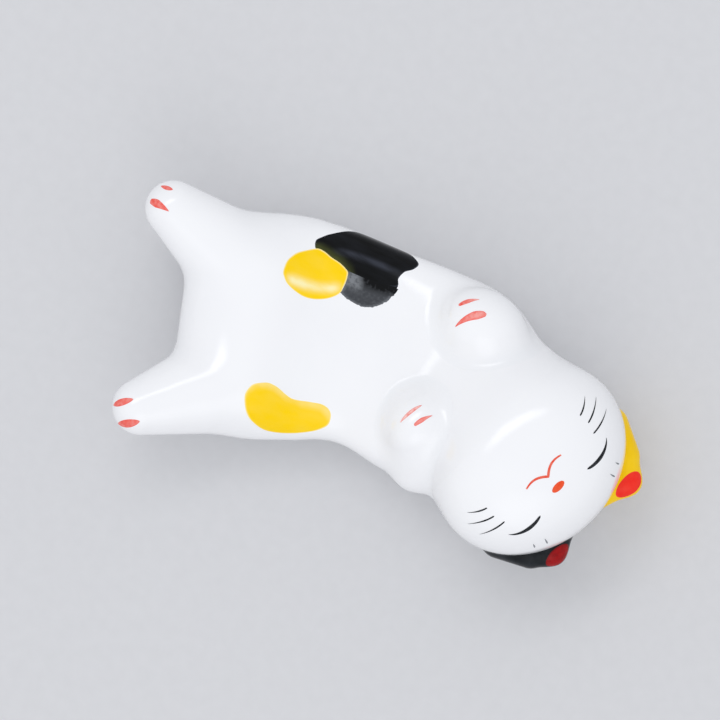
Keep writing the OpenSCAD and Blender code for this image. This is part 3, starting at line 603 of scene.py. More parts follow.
# Deep colour, thin colour, brush marks in mm, their run, reach of the rim, streaks, and any tint.
# Broad marks are those of the wash brush, and fine ones are the single hairs of the liner.
PAINTS = {
    # laid on thick: an even egg yellow, pale where the brush ran dry and in a painted highlight on
    # the spot
    "yellow_brushed_enamel": ("#FFD300", "#FFF4BC", 1.5, ALONG, 0.05, 0.05),
    # the same yellow dabbed on an ear, softly clouded
    "yellow_ear_enamel": ("#F9CA00", "#FFDE4A", 2.6, EVEN, 0.05, 0.25),
    # deep glossy black with bluish thin places, olive where it picked up yellow;
    # its bluish thin colour also draws a painted highlight along the flank patch
    "black_brushed_enamel": ("#050607", "#3A3D47", 1.1, ALONG, 0.04, 0.12, "#4A4F24"),
    # the black thinned with water: a grainy grey, black where the two bled together
    "grey_wash_enamel": ("#3B3D41", "#7C7F83", 0.4, EVEN, 0.20, 0.22, "#0A0B0D"),
    # black dabbed on an ear, a little milky
    "black_ear_enamel": ("#14171A", "#33373C", 1.8, EVEN, 0.05, 0.5),
    # bright warm red, lighter at its rim
    "red_brushed_enamel": ("#F52E22", "#F9503C", 0.9, EVEN, 0.10, 0.3),
    # red with some yellow in it, one soft dab
    "orange_red_enamel": ("#EA4A22", "#F47A55", 0.7, EVEN, 0.15, 0.4),
    # red over the black ear: wine red that darkens at its rim
    "dark_red_enamel": ("#A81216", "#5A0E10", 0.9, EVEN, 0.25, 0.5),
    # a thin red line that fades to pink
    "mouth_red_enamel": ("#E5412A", "#F79A82", 0.7, EVEN, 0.30, 0.4),
    # watery red, nearly white where it ran dry
    "salmon_watery_enamel": ("#F0594D", "#FAD2CB", 0.45, EVEN, 0.05, 0.3),
    # a fine black line, grey along its edges
    "black_line_enamel": ("#17191C", "#4A4E54", 0.6, EVEN, 0.30, 0.35),
    # the last faint line of an almost dry brush
    "grey_line_enamel": ("#6E7277", "#A6A9AD", 0.3, EVEN, 0.30, 0.5),
}
paint = {name: brushed_enamel(name, *recipe) for name, recipe in PAINTS.items()}
print("paints:", len(paint))

# %% [markdown]
# ## Torso, head and hind legs
# These are the four cast pieces. They are cut from the skin at the hips, at the neck and, for the
# legs, down the middle, because pieces modelled one by one would leave gaps at the joints. Each
# keeps how hollow the form is at every point, which tells the glaze where to gather and where
# the white is greyed as painted shade.

# %% Torso, head and hind legs
CAST_PIECES = {
    "torso": [(0, HIP_JOINT_AT, 1), (0, NECK_JOINT_AT, -1)],
    "head": [(0, NECK_JOINT_AT, 1)],
    "right_hind_leg": [(0, HIP_JOINT_AT, -1), (1, 0.0, 1)],
    "left_hind_leg": [(0, HIP_JOINT_AT, -1), (1, 0.0, -1)],
}
for node, cuts in CAST_PIECES.items():
    shape = cut_piece(cuts)
    marks = {"hollow": hollowness(bare_clay, shape[0])}
    make_piece("cast_", node, shape, standing_clay, marks, glaze)

# %% [markdown]
# ## Forelegs and ears
# These are lumps of clay pressed onto the skin. Balls sunk into the body would look the same from
# outside, but each lump should be a piece that lies on the skin. So rays fan out from inside the
# lump: where a ray leaves the bare body is the floor of the lump, and where it leaves the form with
# the lump is its top. The fan opens in each direction until the two meet, so the lump fades into
# the skin.

# %% Rays that leave a form
SEARCH_REACH, SEARCH_STEP, HALVINGS = 26.0, 0.9, 26
THIN = 0.004


def leave(start, way, form, level=0.0, after=0.0):
    """How far each ray goes before it first leaves the form at a level."""
    first = np.broadcast_to(np.asarray(after, float), way.shape[:-1])
    at = first[..., None] + np.arange(0, SEARCH_REACH, SEARCH_STEP)
    along = start[..., None, :] + at[..., None] * way[..., None, :]
    out = form(along) >= np.asarray(level)[..., None]
    out[..., -1] = True
    index = out.argmax(-1)
    far = np.take_along_axis(at, index[..., None], -1)[..., 0]
    near = np.where(index == 0, far, far - SEARCH_STEP)
    for _ in range(HALVINGS):
        half = (near + far) / 2
        inside = form(start + half[..., None] * way) < level
        near, far = np.where(inside, half, near), np.where(inside, far, half)
    return (near + far) / 2


def fan_ways(ahead, turns, leans):
    across = np.cross(ahead, [1, 0, TINY])
    across /= np.linalg.norm(across)
    up = np.cross(across, ahead)
    sideways = np.sin(turns)[..., None] * across + np.cos(turns)[..., None] * up
    return np.sin(leans)[..., None] * sideways + np.cos(leans)[..., None] * ahead


print("rays look", SEARCH_REACH, "mm far")

# %% Faces of a round sheet, and a closed disc between two sheets
def disc_faces(rings, cols, first, upward):
    """A fan round a middle point and strips of faces out to the rim."""
    after = [(k + 1) % cols for k in range(cols)]
    faces = [[first, first + 1 + k, first + 1 + after[k]] for k in range(cols)]
    for i in range(rings - 1):
        a = first + 1 + i * cols
        faces += [[a + k, a + cols + k, a + cols + after[k], a + after[k]] for k in range(cols)]
    return faces if upward else [face[::-1] for face in faces]


def closed_disc(high, low, rings, cols):
    """Points and faces of a thin solid, and which faces are its skin."""
    count = len(high)
    rim = [*range(count - cols, count)]
    wall = [[v, v + count, w + count, w] for v, w in zip(rim, rim[1:] + rim[:1])]
    top = disc_faces(rings, cols, 0, True)
    faces = top + disc_faces(rings, cols, count, False) + wall
    return np.concatenate([high, low]), faces, np.arange(len(faces)) < len(top)


def turned_outward(points, faces):
    """The faces, all turned over if the closed shape came out inside out."""
    volume = 0.0
    for face in faces:
        a = points[face[0]]
        for b, c in zip(face[1:-1], face[2:]):
            volume += np.dot(a, np.cross(points[b], points[c]))
    return faces if volume > 0 else [face[::-1] for face in faces]


print("a disc of 3 rings and 8 columns has", len(disc_faces(3, 8, 0, True)), "faces a side")

# %% A lump of clay on the skin
LUMP_COLS, LUMP_RINGS, WIDEST_FAN, FAN_HALVINGS = 96, 44, 120, 22
SUNK = 0.06


def lump(middle, ahead, form):
    turns = np.linspace(0, 2 * np.pi, LUMP_COLS, endpoint=False)

    def alone(p):
        return np.maximum(form(p), -bare_clay(p))

    def floor_and_top(way):
        floor = leave(middle, way, bare_clay)
        return floor, leave(middle, way, alone, 0.0, floor + THIN)

    near, far = np.zeros(LUMP_COLS), np.full(LUMP_COLS, np.radians(WIDEST_FAN))
    for _ in range(FAN_HALVINGS):
        half = (near + far) / 2
        floor, top = floor_and_top(fan_ways(ahead, turns, half))
        thick = top - floor > 2 * THIN
        near, far = np.where(thick, half, near), np.where(thick, far, half)
    shares = (np.arange(1, LUMP_RINGS + 1) / LUMP_RINGS)[:, None]
    way = np.concatenate([[ahead], fan_ways(ahead, turns, shares * near).reshape(-1, 3)])
    floor, top = floor_and_top(way)
    high, low = middle + top[:, None] * way, middle + (floor - SUNK)[:, None] * way
    points, faces, is_skin = closed_disc(high, low, LUMP_RINGS, LUMP_COLS)
    return points, turned_outward(points, faces), is_skin


def unit(v):
    return np.asarray(v, float) / np.linalg.norm(v)


print("a lump has", LUMP_RINGS, "rings of", LUMP_COLS, "points")

# %% The forelegs, folded on the chest
SIDES = {"right": 1, "left": -1}
LUMP_DEPTH = 0.6  # the fan starts this share of the radius below the middle of the leg
for word, side in SIDES.items():
    form, ahead = with_foreleg(side), unit([0, side, 1])
    middle = (SHOULDERS[side] + PAWS[side]) / 2 - LUMP_DEPTH * SHOULDER_RADIUS * ahead
    shape = lump(middle, ahead, form)
    marks = {"hollow": hollowness(form, shape[0])}
    make_piece("cast_", word + "_foreleg", shape, form, marks, glaze)

# %% The ears, each dipped in its own enamel
EAR_LEAN = 0.6  # sideways for each step forward
for word, side, colour in [("right", 1, "yellow"), ("left", -1, "black")]:
    form, middle = with_ear(side), (EAR_OUTERS[side] + EAR_INNERS[side]) / 2
    shape = lump(middle, unit([1, side * EAR_LEAN, 0]), form)
    ring = np.clip((np.arange(len(shape[0]) // 2) - 1) // LUMP_COLS + 1, 0, LUMP_RINGS)
    marks = {"rim": np.concatenate([1 - ring / LUMP_RINGS] * 2)}
    slot, finish = colour + "_enamel", paint[colour + "_ear_enamel"]
    make_piece("painted_", word + "_ear", shape, form, marks, finish)

# %% [markdown]
# ## The painted coat
# Each patch is a film of enamel with an outline that the brush drew. It could be one more colour on
# the torso, but the real film has its own gloss and a thin edge, so it is a piece. Its outline is a
# round curve through a few points, given along the back and round the body. Rays from the core of
# the body carry it out to the skin, and the film thins to nothing at its rim.

# %% Rays from the core of the body, and a film of enamel on the skin
FILM, FILM_SUNK = 0.05, 0.03
RIM_FILM, RIM_SHARPNESS = 0.12, 6
CORE_AT = [HIPS[0], CHEST[0], HEAD[0]]
CORE_LEVEL = [HIPS[2], CHEST[2], HEAD[2]]


def body_ray(at, turn):
    start = np.stack([at, np.zeros_like(at), np.interp(at, CORE_AT, CORE_LEVEL)], -1)
    turn = np.radians(turn)
    return start, np.stack([np.zeros_like(at), np.sin(turn), np.cos(turn)], -1)


def painted_disc(start, way, form, shares, cols, film=FILM):
    """A film where rays leave the form, full over most of it and thin at its rim."""
    level = film * (RIM_FILM + (1 - RIM_FILM) * (1 - shares**RIM_SHARPNESS))
    high = start + leave(start, way, form, level)[..., None] * way
    low = start + leave(start, way, form, -FILM_SUNK)[..., None] * way
    points, faces, is_skin = closed_disc(high, low, (len(shares) - 1) // cols, cols)
    return points, turned_outward(points, faces), is_skin


def ring_shares(rings, cols):
    """How far out each point of a disc lies: its middle, then rings of points."""
    return np.concatenate([[0.0], np.repeat(np.arange(1, rings + 1) / rings, cols)])


print("enamel is", FILM, "mm thick")

# %% Outlines that a brush draws
PATCH_COLS, PATCH_RINGS = 180, 16
SOFT_WAVES = [(3, 0.4), (5, 1.9), (8, 4.1), (13, 2.2)]
RAGGED_WAVES = [(7, 0.9), (11, 2.5), (17, 5.2), (29, 1.1), (41, 3.7)]


def rounded(corners):
    """A round closed curve through corner points."""
    corners = np.asarray(corners, float)
    n = len(corners)
    u = np.linspace(0, 1, PATCH_COLS, endpoint=False) * n
    i = np.floor(u).astype(int)
    v = (u - i)[:, None]
    a, b, c, d = (corners[(i + k) % n] for k in (-1, 0, 1, 2))
    curve = (c - a) * v + (2 * a - 5 * b + 4 * c - d) * v**2 + (3 * b - a - 3 * c + d) * v**3
    return b + curve / 2


def wavered(outline, heart, amount, waves):
    """An outline moved in and out a little, as a soft brush leaves it."""
    turn = np.linspace(0, 2 * np.pi, len(outline), endpoint=False)
    shift = sum(np.sin(count * turn + phase) for count, phase in waves) / len(waves)
    return heart + (outline - heart) * (1 + amount * shift)[:, None]


print("outlines have", PATCH_COLS, "points")

# %% Where the spot and the patches lie
# Each field is its middle along the back and its reach in mm, its turn round the body, its reach
# round it and its skew in degrees. Outlines are shares of that reach.
SPOT_FIELD = (-13.0, 3.45, 49.0, 16.0, 5.5)
PATCH_FIELD = (-12.8, 5.6, -59.0, 18.0, 0.0)
BLACK_FIELD = (-8.4, 10.0, 61.0, 36.0, 0.0)
GREY_FIELD = (-8.4, 10.0, 61.0, 18.0, 0.0)


def on_body(q, field):
    at, length, turn, span, skew = field
    return np.stack([at + q[:, 0] * length, turn + skew * q[:, 0] + q[:, 1] * span], -1)


def in_field(flat, field):
    at, length, turn, span, skew = field
    x = (flat[:, 0] - at) / length
    return np.stack([x, (flat[:, 1] - turn - skew * x) / span], -1)


print("fields:", SPOT_FIELD, PATCH_FIELD, BLACK_FIELD, GREY_FIELD)

# %% The shapes that the brush drew
SPOT = rounded([
    (0.96, 0.39), (0.75, 0.58), (0.46, 0.76), (0.23, 0.92), (-0.06, 0.99), (-0.55, 0.82),
    (-0.81, 0.6), (-0.96, 0.33), (-1.01, 0), (-0.94, -0.24), (-0.78, -0.46), (-0.52, -0.65),
    (-0.22, -0.8), (0.2, -0.82), (0.62, -0.66), (0.88, -0.4), (0.97, -0.08), (1, 0.2),
])
PATCH = rounded([
    (-1.02, 0.55), (-0.95, 0.78), (-0.82, 0.88), (-0.62, 0.86), (-0.46, 0.72), (-0.33, 0.54),
    (-0.2, 0.33), (-0.05, 0.13), (0.16, 0), (0.43, -0.07), (0.68, -0.12), (0.88, -0.22),
    (0.98, -0.38), (0.99, -0.58), (0.9, -0.74), (0.66, -0.87), (0.28, -0.94), (-0.11, -0.93),
    (-0.43, -0.78), (-0.66, -0.54), (-0.86, -0.2), (-0.97, 0.14),
])
BLACK = rounded([
    (-0.49, 0.11), (-0.495, 0.2), (-0.42, 0.29), (-0.3, 0.41), (-0.19, 0.56), (-0.09, 0.73),
    (0.04, 0.85), (0.16, 0.88), (0.27, 0.83), (0.36, 0.69), (0.44, 0.52), (0.49, 0.39),
    (0.46, 0.285), (0.395, 0.21), (0.36, 0.11), (0.37, 0), (0.18, -0.04), (-0.08, -0.03),
    (-0.28, 0), (-0.42, 0.05),
])
GREY = rounded([
    (-0.15, 0.08), (0, 0.24), (0.14, 0.34), (0.3, 0.3), (0.38, 0), (0.385, -0.18), (0.34, -0.43),
    (0.28, -0.68), (0.18, -0.9), (0.06, -0.97), (-0.05, -0.87), (-0.14, -0.74), (-0.2, -0.4),
    (-0.21, -0.1),
])
print("corners are rounded to", len(PATCH), "points each")

# %% Black and grey stay off the yellow spot
def spot_reach(q):
    """How far the spot reaches from its middle in the direction of each point."""
    x, y = SPOT.T
    turn, turns = np.arctan2(q[:, 1], q[:, 0]), np.arctan2(y, x)
    return np.interp(turn, turns, np.hypot(x, y), period=2 * np.pi)


def off_spot(flat):
    """Places that are pushed out to the edge of the spot where they would run under it."""
    q = in_field(flat, SPOT_FIELD)
    push = np.maximum(1, spot_reach(q) / np.maximum(np.linalg.norm(q, axis=-1), TINY))
    return on_body(q * push[:, None], SPOT_FIELD)


print("the spot reaches", spot_reach(np.eye(2)).round(2), "of its field")

# %% Where the brush ran dry, and where one paint tinted another
# Each number below is a share: of a field for a place or a width, and of full dryness in front.
TINT_REACH, DARK_REACH, STREAK_FADE = 0.22, 0.3, 0.3


def streak(x, y, level, half_width, bow):
    """A band along x at a level, bowed a little and fading towards its ends and sides."""
    ends = np.clip((1 - np.abs(x)) / STREAK_FADE, 0, 1)
    return np.exp(-(((y - level - bow * x * x) / half_width) ** 2)) * ends


# The pale streak across the spot is partly thin dry paint and partly a painted highlight of a lamp.
def dry_streak_and_highlight_on_spot(flat):
    x, y = in_field(flat, SPOT_FIELD).T
    return 0.95 * streak(x / 0.95, y, -0.3, 0.2, 0.1)


def pale_band_on_patch(flat):
    """The side of the patch towards the belly is paler."""
    x, y = in_field(flat, PATCH_FIELD).T
    edge_at = [-1.02, -0.95, -0.82, -0.62, -0.46, -0.2, 0.16, 0.68, 0.98]
    upper_edge = np.interp(x, edge_at, [0.5, 0.78, 0.88, 0.86, 0.72, 0.33, 0, -0.12, -0.38])
    return 0.42 * np.exp(-(((upper_edge - y) / 0.15) ** 2))


# A pale bluish streak along the middle of the black is a painted highlight, put in as dry paint.
def highlight_streak_on_black(flat):
    x, y = in_field(flat, BLACK_FIELD).T
    return 0.9 * streak((x - 0.05) / 0.38, y, 0.2, 0.04, -0.05)


def dry_on_grey(flat):
    x, y = in_field(flat, GREY_FIELD).T
    return 1.2 * streak((x + 0.07) / 0.14, y, -0.2, 0.22, 0.0) + 0.12


def tint_on_black(flat):
    """Yellow that the brush picked up beside the spot."""
    q = in_field(flat, SPOT_FIELD)
    return np.clip(1 - (np.linalg.norm(q, axis=-1) - spot_reach(q)) / TINT_REACH, 0, 1)


def tint_on_grey(flat):
    """Black that bled into the wet grey below it."""
    x, y = in_field(flat, GREY_FIELD).T
    return 1.6 * np.clip(1 + (y + 0.1) / DARK_REACH, 0, 1) * np.clip((x + 0.03) / 0.14, 0, 1)


print("tints reach", TINT_REACH, "of the spot and", DARK_REACH, "of the wash")

# %% Lay the patches on the body
WAVER, GREY_WAVER, WASH_FILM = (0.01, SOFT_WAVES), (0.05, RAGGED_WAVES), 0.014
ON_SPOT, ON_PATCH = {"dry": dry_streak_and_highlight_on_spot}, {"dry": pale_band_on_patch}
ON_BLACK = {"dry": highlight_streak_on_black, "tint": tint_on_black}
ON_GREY = {"dry": dry_on_grey, "tint": tint_on_grey}
PATCHES = {
    "yellow_belly_spot": (SPOT_FIELD, SPOT, (0, 0), WAVER, FILM, ON_SPOT),
    "yellow_flank_patch": (PATCH_FIELD, PATCH, (-0.14, -0.33), WAVER, FILM, ON_PATCH),
    "black_flank_patch": (BLACK_FIELD, BLACK, (0.04, 0.46), WAVER, FILM, ON_BLACK),
    "grey_wash_patch": (GREY_FIELD, GREY, (0.1, -0.36), GREY_WAVER, WASH_FILM, ON_GREY),
}
PATCH_PAINTS = ["yellow_brushed_enamel"] * 2 + ["black_brushed_enamel", "grey_wash_enamel"]
shares = ring_shares(PATCH_RINGS, PATCH_COLS)
steps = (np.arange(1, PATCH_RINGS + 1) / PATCH_RINGS)[:, None, None]
for (node, patch), finish in zip(PATCHES.items(), PATCH_PAINTS):
    field, outline, heart, waver, film, places = patch
    edge, heart = [on_body(q, field) for q in (wavered(outline, heart, *waver), np.array([heart]))]
    if "yellow" not in node:
        edge, heart = off_spot(edge), off_spot(heart)
    flat = np.concatenate([heart, (heart + steps * (edge - heart)).reshape(-1, 2)])
    start, way = body_ray(flat[:, 0], flat[:, 1])
    shape = painted_disc(start, way, bare_clay, shares, PATCH_COLS, film)
    marks = {"rim": 1 - shares, **{mark: of(flat) for mark, of in places.items()}}
    marks = {mark: np.concatenate([values] * 2) for mark, values in marks.items()}
    slot = node.split("_")[0] + "_enamel"
    make_piece("painted_", node, shape, bare_clay, marks, paint[finish])

# %% [markdown]
# ## Face and toes
# The face was drawn with a fine brush in single strokes, and so it is here, because a curve with a
# round bevel would look like wire. Each stroke is a thin ribbon with a crowned back, laid along a
# curve. A line of the face grows from a hair line and stops blunt, where the brush was lifted. The
# nose is one dab.

# %% A stroke of the brush
STROKE_ROWS, LINE_FILM, CROWN, END_FILM = 36, 0.035, 0.9, 0.3
STROKE_SPREAD = np.array([-1.0, -0.8, -0.4, 0.0, 0.4, 0.8, 1.0])
HAIR, SWELL, TIP = 0.03, 0.8, 0.05
u = np.linspace(0, 1, STROKE_ROWS)


def curve_point(points, u):
    """A curve that starts at the first point, ends at the last and leans to the others."""
    points = [np.broadcast_to(np.asarray(q, float), (len(u), 2)) for q in points]
    while len(points) > 1:
        points = [(1 - u)[:, None] * a + u[:, None] * b for a, b in zip(points, points[1:])]
    return points[0]


def set_down(u, blunt, widest_at):
    """A stroke that runs to a hair line at its start and stops blunt at its end."""
    lifted = np.clip((u - widest_at) / (1 - widest_at), 0, 1) ** 2
    body = np.clip(u / widest_at, 0, 1) ** SWELL * (1 - (1 - blunt) * lifted)
    return HAIR + (1 - HAIR) * body * np.sqrt(np.clip((1 - u) / TIP, 0, 1))


def stroke_rows(line, half_width):
    """Rows of points across a line, each row at right angles to it."""
    way = np.gradient(line, axis=0)
    way /= np.linalg.norm(way, axis=-1, keepdims=True)
    off = np.stack([-way[:, 1], way[:, 0]], -1) * half_width[:, None]
    return line[:, None] + off[:, None] * STROKE_SPREAD[None, :, None]


def ribbon(start, way, form):
    """A closed ribbon with a crowned back where rows of rays leave the form."""
    rows, cols = way.shape[:2]
    level = np.tile(LINE_FILM * (1 - CROWN * STROKE_SPREAD**4), (rows, 1))
    level[[0, -1]] *= END_FILM
    high = start + leave(start, way, form, level)[..., None] * way
    low = start + leave(start, way, form, -FILM_SUNK)[..., None] * way
    count = rows * cols
    grid = np.arange(count).reshape(rows, cols)
    a, b, c, d = grid[:-1, :-1], grid[1:, :-1], grid[1:, 1:], grid[:-1, 1:]
    top = np.stack([a, b, c, d], -1).reshape(-1, 4).tolist()
    under = [[v + count for v in face[::-1]] for face in top]
    loop = [*grid[0], *grid[1:, -1], *grid[-1, -2::-1], *grid[-2:0:-1, 0]]
    wall = [[v, w, w + count, v + count] for v, w in zip(loop, loop[1:] + loop[:1])]
    points = np.concatenate([high.reshape(-1, 3), low.reshape(-1, 3)])
    faces = turned_outward(points, top + under + wall)
    return points, faces, np.arange(len(faces)) < len(top)


print("a stroke has", STROKE_ROWS, "rows of", len(STROKE_SPREAD), "points")

# %% Several strokes make one piece
RIM_ROWS = 1 / 6


def stroke_piece(node, strokes, form, finish, dryness=None):
    """Ribbons as one piece. Each stroke is its rays, and how dry it is from first to last."""
    points, faces, is_skin, rim, dry = [], [], [], [], []
    for (start, way), (dry_first, dry_last) in zip(strokes, dryness or [(0, 0)] * len(strokes)):
        first, rows = sum(map(len, points)), len(way)
        p, f, s = ribbon(start, way, form)
        points.append(p)
        faces += [[v + first for v in face] for face in f]
        is_skin.append(s)
        ends = np.minimum(np.arange(rows), np.arange(rows)[::-1]) / (rows * RIM_ROWS)
        inner = np.minimum(1 - np.abs(STROKE_SPREAD), np.clip(ends, 0, 1)[:, None])
        rim.append(np.tile(inner.ravel(), 2))
        along = np.linspace(dry_first, dry_last, rows)[:, None]
        dry.append(np.tile((along * (1 - STROKE_SPREAD**4)).ravel(), 2))
    points, is_skin, rim, dry = map(np.concatenate, (points, is_skin, rim, dry))
    marks = {"rim": rim, "dry": dry}
    make_piece("painted_", node, (points, faces, is_skin), form, marks, finish)


print("a stroke thins over", round(RIM_ROWS * STROKE_ROWS), "rows at each end")

# %% Places on the face
FACE_TURN = np.radians(1.3)  # the painter held the cat a little askew
ASKEW = np.array(Matrix.Rotation(FACE_TURN, 2))
HALF_FACE = np.array(HEAD_SIZE[:2]) / 2
LINE_WIDEST_AT = 0.6


def face_rays(rows):
    """Rays straight up through places on the face, in millimetres from its middle."""
    start = np.concatenate([rows @ ASKEW, np.zeros((*rows.shape[:-1], 1))], -1) + HEAD
    return start, np.broadcast_to([0.0, 0.0, 1.0], start.shape)


def face_stroke(shares, side, width, blunt):
    line = curve_point([np.array(q) * HALF_FACE * [1, side] for q in shares], u)
    return face_rays(stroke_rows(line, set_down(u, blunt, LINE_WIDEST_AT) * width / 2))


print("half the face:", HALF_FACE, "mm")

# %% Eyes, whiskers and brow strokes
EYE = [(0.435, 0.656), (0.52, 0.605), (0.59, 0.458), (0.534, 0.312)]
WHISKERS = [
    [(-0.068, 0.79), (0.025, 0.712), (0.052, 0.622)],
    [(0.03, 0.862), (0.144, 0.75), (0.174, 0.628)],
    [(0.208, 0.852), (0.296, 0.73), (0.3, 0.593)],
]
BROWS = [
    [(0.71, 0.554), (0.734, 0.556), (0.754, 0.567)],
    [(0.759, 0.44), (0.789, 0.443), (0.822, 0.453)],
]
EYE_WIDTH, WHISKER_WIDTH = 0.42, 0.19
# curves in shares of half the face, width in mm, how blunt the end is, and the paint
LINES = {
    "_eye": ([EYE], EYE_WIDTH, 0.55, "black_line_enamel"),
    "_whiskers": (WHISKERS, WHISKER_WIDTH, 0.9, "black_line_enamel"),
    "_brow_strokes": (BROWS, WHISKER_WIDTH, 0.7, "grey_line_enamel"),
}
for word, side in SIDES.items():
    for what, (curves, width, blunt, finish) in LINES.items():
        strokes = [face_stroke(shares, side, width, blunt) for shares in curves]
        stroke_piece(word + what, strokes, bare_clay, paint[finish])

# %% Mouth and nose
HALF_MOUTH = [(0.212, 0.232), (0.184, 0.15), (0.189, 0.083), (0.284, 0)]
MOUTH_WIDTH, MOUTH_FLOOR = 0.31, 0.6
half = curve_point([np.array(q) * HALF_FACE for q in HALF_MOUTH], np.linspace(0, 1, 24))
line = np.concatenate([half, half[-2::-1] * [1, -1]])
taper = MOUTH_FLOOR + (1 - MOUTH_FLOOR) * np.sin(np.linspace(0, np.pi, len(line)))
strokes = [face_rays(stroke_rows(line, taper * MOUTH_WIDTH / 2))]
stroke_piece("mouth", strokes, bare_clay, paint["mouth_red_enamel"])

NOSE_AT, NOSE_LENGTH, NOSE_WIDTH = 0.444, 1.8, 0.85
DAB_COLS, DAB_RINGS = 48, 8
dab_shares = ring_shares(DAB_RINGS, DAB_COLS)


def oval(width, length, at):
    """Places in a dab, in the order of a disc's points."""
    a = np.linspace(0, 2 * np.pi, DAB_COLS, endpoint=False)
    ring = np.stack([np.cos(a), np.sin(a)], -1)
    rings = [ring * i / DAB_RINGS for i in range(1, DAB_RINGS + 1)]
    return np.concatenate([[[0, 0]]] + rings) * [width / 2, length / 2] + [at, 0]


def dab(node, rays, form, whole, finish):
    """One dab of enamel where rays leave a form, shaded as the whole skin is there."""
    shape = painted_disc(*rays, form, dab_shares, DAB_COLS)
    marks = {"rim": np.concatenate([1 - dab_shares] * 2)}
    make_piece("painted_", node, shape, whole, marks, paint[finish])


nose_rays = face_rays(oval(NOSE_WIDTH, NOSE_LENGTH, NOSE_AT * HALF_FACE[0]))
dab("nose", nose_rays, bare_clay, bare_clay, "orange_red_enamel")

# %% [markdown]
# The toes are two watery strokes on each paw and foot, and each ear has a red mark wrapped over its
# tip. Straight lines of sight would smear them over such steep ends. They lie on round ends of
# limbs, so their places are measured round a ball about the middle of that end.

# %% Rays over a round end, and how a toe stroke was pressed
def ball_rays(middle, shares):
    """Rays from the middle of a round end, at distances over its top in shares of its radius."""
    far = np.maximum(np.linalg.norm(shares, axis=-1, keepdims=True), TINY)
    way = np.concatenate([np.sin(far) * shares / far, np.cos(far)], -1)
    return np.broadcast_to(middle, way.shape), way


PRESSED = {
    "last": set_down(u, 0.5, 0.7),  # blunt at its last end
    "first": set_down(1 - u, 0.55, 0.55),  # blunt at its first end
    "leaf": HAIR + (1 - HAIR) * np.sin(np.pi * u) ** 0.65,  # pointed at both ends
}
print("toe strokes are pressed", len(PRESSED), "ways")

# %% Toe strokes: a curve, a share of the width, how it was pressed, and dry from first to last
TOE_WIDTH = 0.95
TOE_ENDS = {
    "right_paw": (PAWS[1], PAW_RADIUS, with_foreleg(1)),
    "left_paw": (PAWS[-1], PAW_RADIUS, with_foreleg(-1)),
    "right_foot": (mirrored(FOOT, 1), FOOT_RADIUS, bare_clay),
    "left_foot": (mirrored(FOOT, -1), FOOT_RADIUS, bare_clay),
}
TOES = {
    "right_paw": [
        ([(-0.83, 0.17), (-0.67, 0.47), (-0.45, 0.63)], 0.62, "first", (-0.1, 0.75)),
        ([(-0.62, -0.43), (-0.48, 0.03), (-0.12, 0.35)], 1.0, "last", (0.1, 0.6)),
    ],
    "left_paw": [
        ([(-0.56, -0.22), (-0.46, 0.2), (-0.24, 0.52)], 0.5, "leaf", (0.95, 0.8)),
        ([(-0.1, -0.08), (0, 0.2), (0.2, 0.42)], 0.62, "first", (0.35, 0.45)),
    ],
    "right_foot": [
        ([(-1.0, 0.14), (-0.58, 0.1), (-0.12, -0.14)], 1.1, "first", (0.0, 0.2)),
        ([(-0.68, 0.88), (-0.36, 0.74), (-0.12, 0.7)], 0.7, "leaf", (0.2, 0.3)),
    ],
    "left_foot": [
        ([(-1.25, -0.12), (-0.8, 0.04), (-0.28, 0.24)], 1.0, "leaf", (0.1, 0.3)),
        ([(-0.95, -1.02), (-0.42, -0.76), (0.08, -0.52)], 1.3, "leaf", (0.0, 0.3)),
    ],
}
for where, (middle, radius, form) in TOE_ENDS.items():
    strokes = []
    for points, share, pressed, _ in TOES[where]:
        half_width = PRESSED[pressed] * (share * TOE_WIDTH) / radius / 2
        strokes.append(ball_rays(middle, stroke_rows(curve_point(points, u), half_width)))
    dryness = [toe[-1] for toe in TOES[where]]
    slot, finish = "salmon_enamel", paint["salmon_watery_enamel"]
    stroke_piece(where + "_strokes", strokes, form, finish, dryness)

# %% The marks inside the ears, on the ear alone, so that none climbs onto the head
INNER_EAR_LENGTH, INNER_EAR_WIDTH, INNER_EAR_SHIFT = 3.1, 1.9, {1: 0.28, -1: 0.5}
for word, side, slot, finish in [
    ("right", 1, "red_enamel", "red_brushed_enamel"),
    ("left", -1, "dark_red_enamel", "dark_red_enamel"),
]:
    flat = oval(INNER_EAR_WIDTH, INNER_EAR_LENGTH, INNER_EAR_SHIFT[side] * INNER_EAR_WIDTH)
    rays = ball_rays(EAR_TIPS[side], flat / EAR_TIP_RADIUS)
    dab(word + "_inner_ear", rays, ear_form(side), with_ear(side), finish)

# %% [markdown]
# ## Floor and light
# The floor is a plain pale sheet of paper. It is a shade darker than the porcelain, so that the
# white cat stands off it. Wet glaze mirrors its surroundings, and a picture of a studio would light
# it well, but it would be one more file. So most of the light is an even white sky. A long narrow
# lamp on one side draws the thin glints, and a wide one opposite fills the shade. Each is covered
# with cloth, brightest in the middle, so that it shows on the glaze as a soft glow with no edge.

# %% Floor
FLOOR_SIZE, FIBRE_SIZE, PAPER_ROUGHNESS = 6.0, 1.5, 0.85
floor_finish, tree = new_finish("pale_paper_floor")
place = add_node(tree, "TexCoord").outputs["Object"]
fibres = add_node(tree, "TexNoise", {"Vector": place, "Scale": per_mm(FIBRE_SIZE), "Detail": 4.0})
shades = {0: fibres.outputs["Fac"], 6: linear("#CFCFD1"), 7: linear("#D5D5D7")}
paper = add_node(tree, "Mix", shades, data_type="RGBA").outputs[2]
shader = add_node(tree, "BsdfPrincipled", {"Base Color": paper, "Roughness": PAPER_ROUGHNESS})
add_node(tree, "OutputMaterial", {0: shader.outputs[0]})
floor_mesh = bpy.data.meshes.new("floor")
half = FLOOR_SIZE / 2
corners = [(-half, -half, 0), (half, -half, 0), (half, half, 0), (-half, half, 0)]
floor_mesh.from_pydata(corners, [], [(0, 1, 2, 3)])
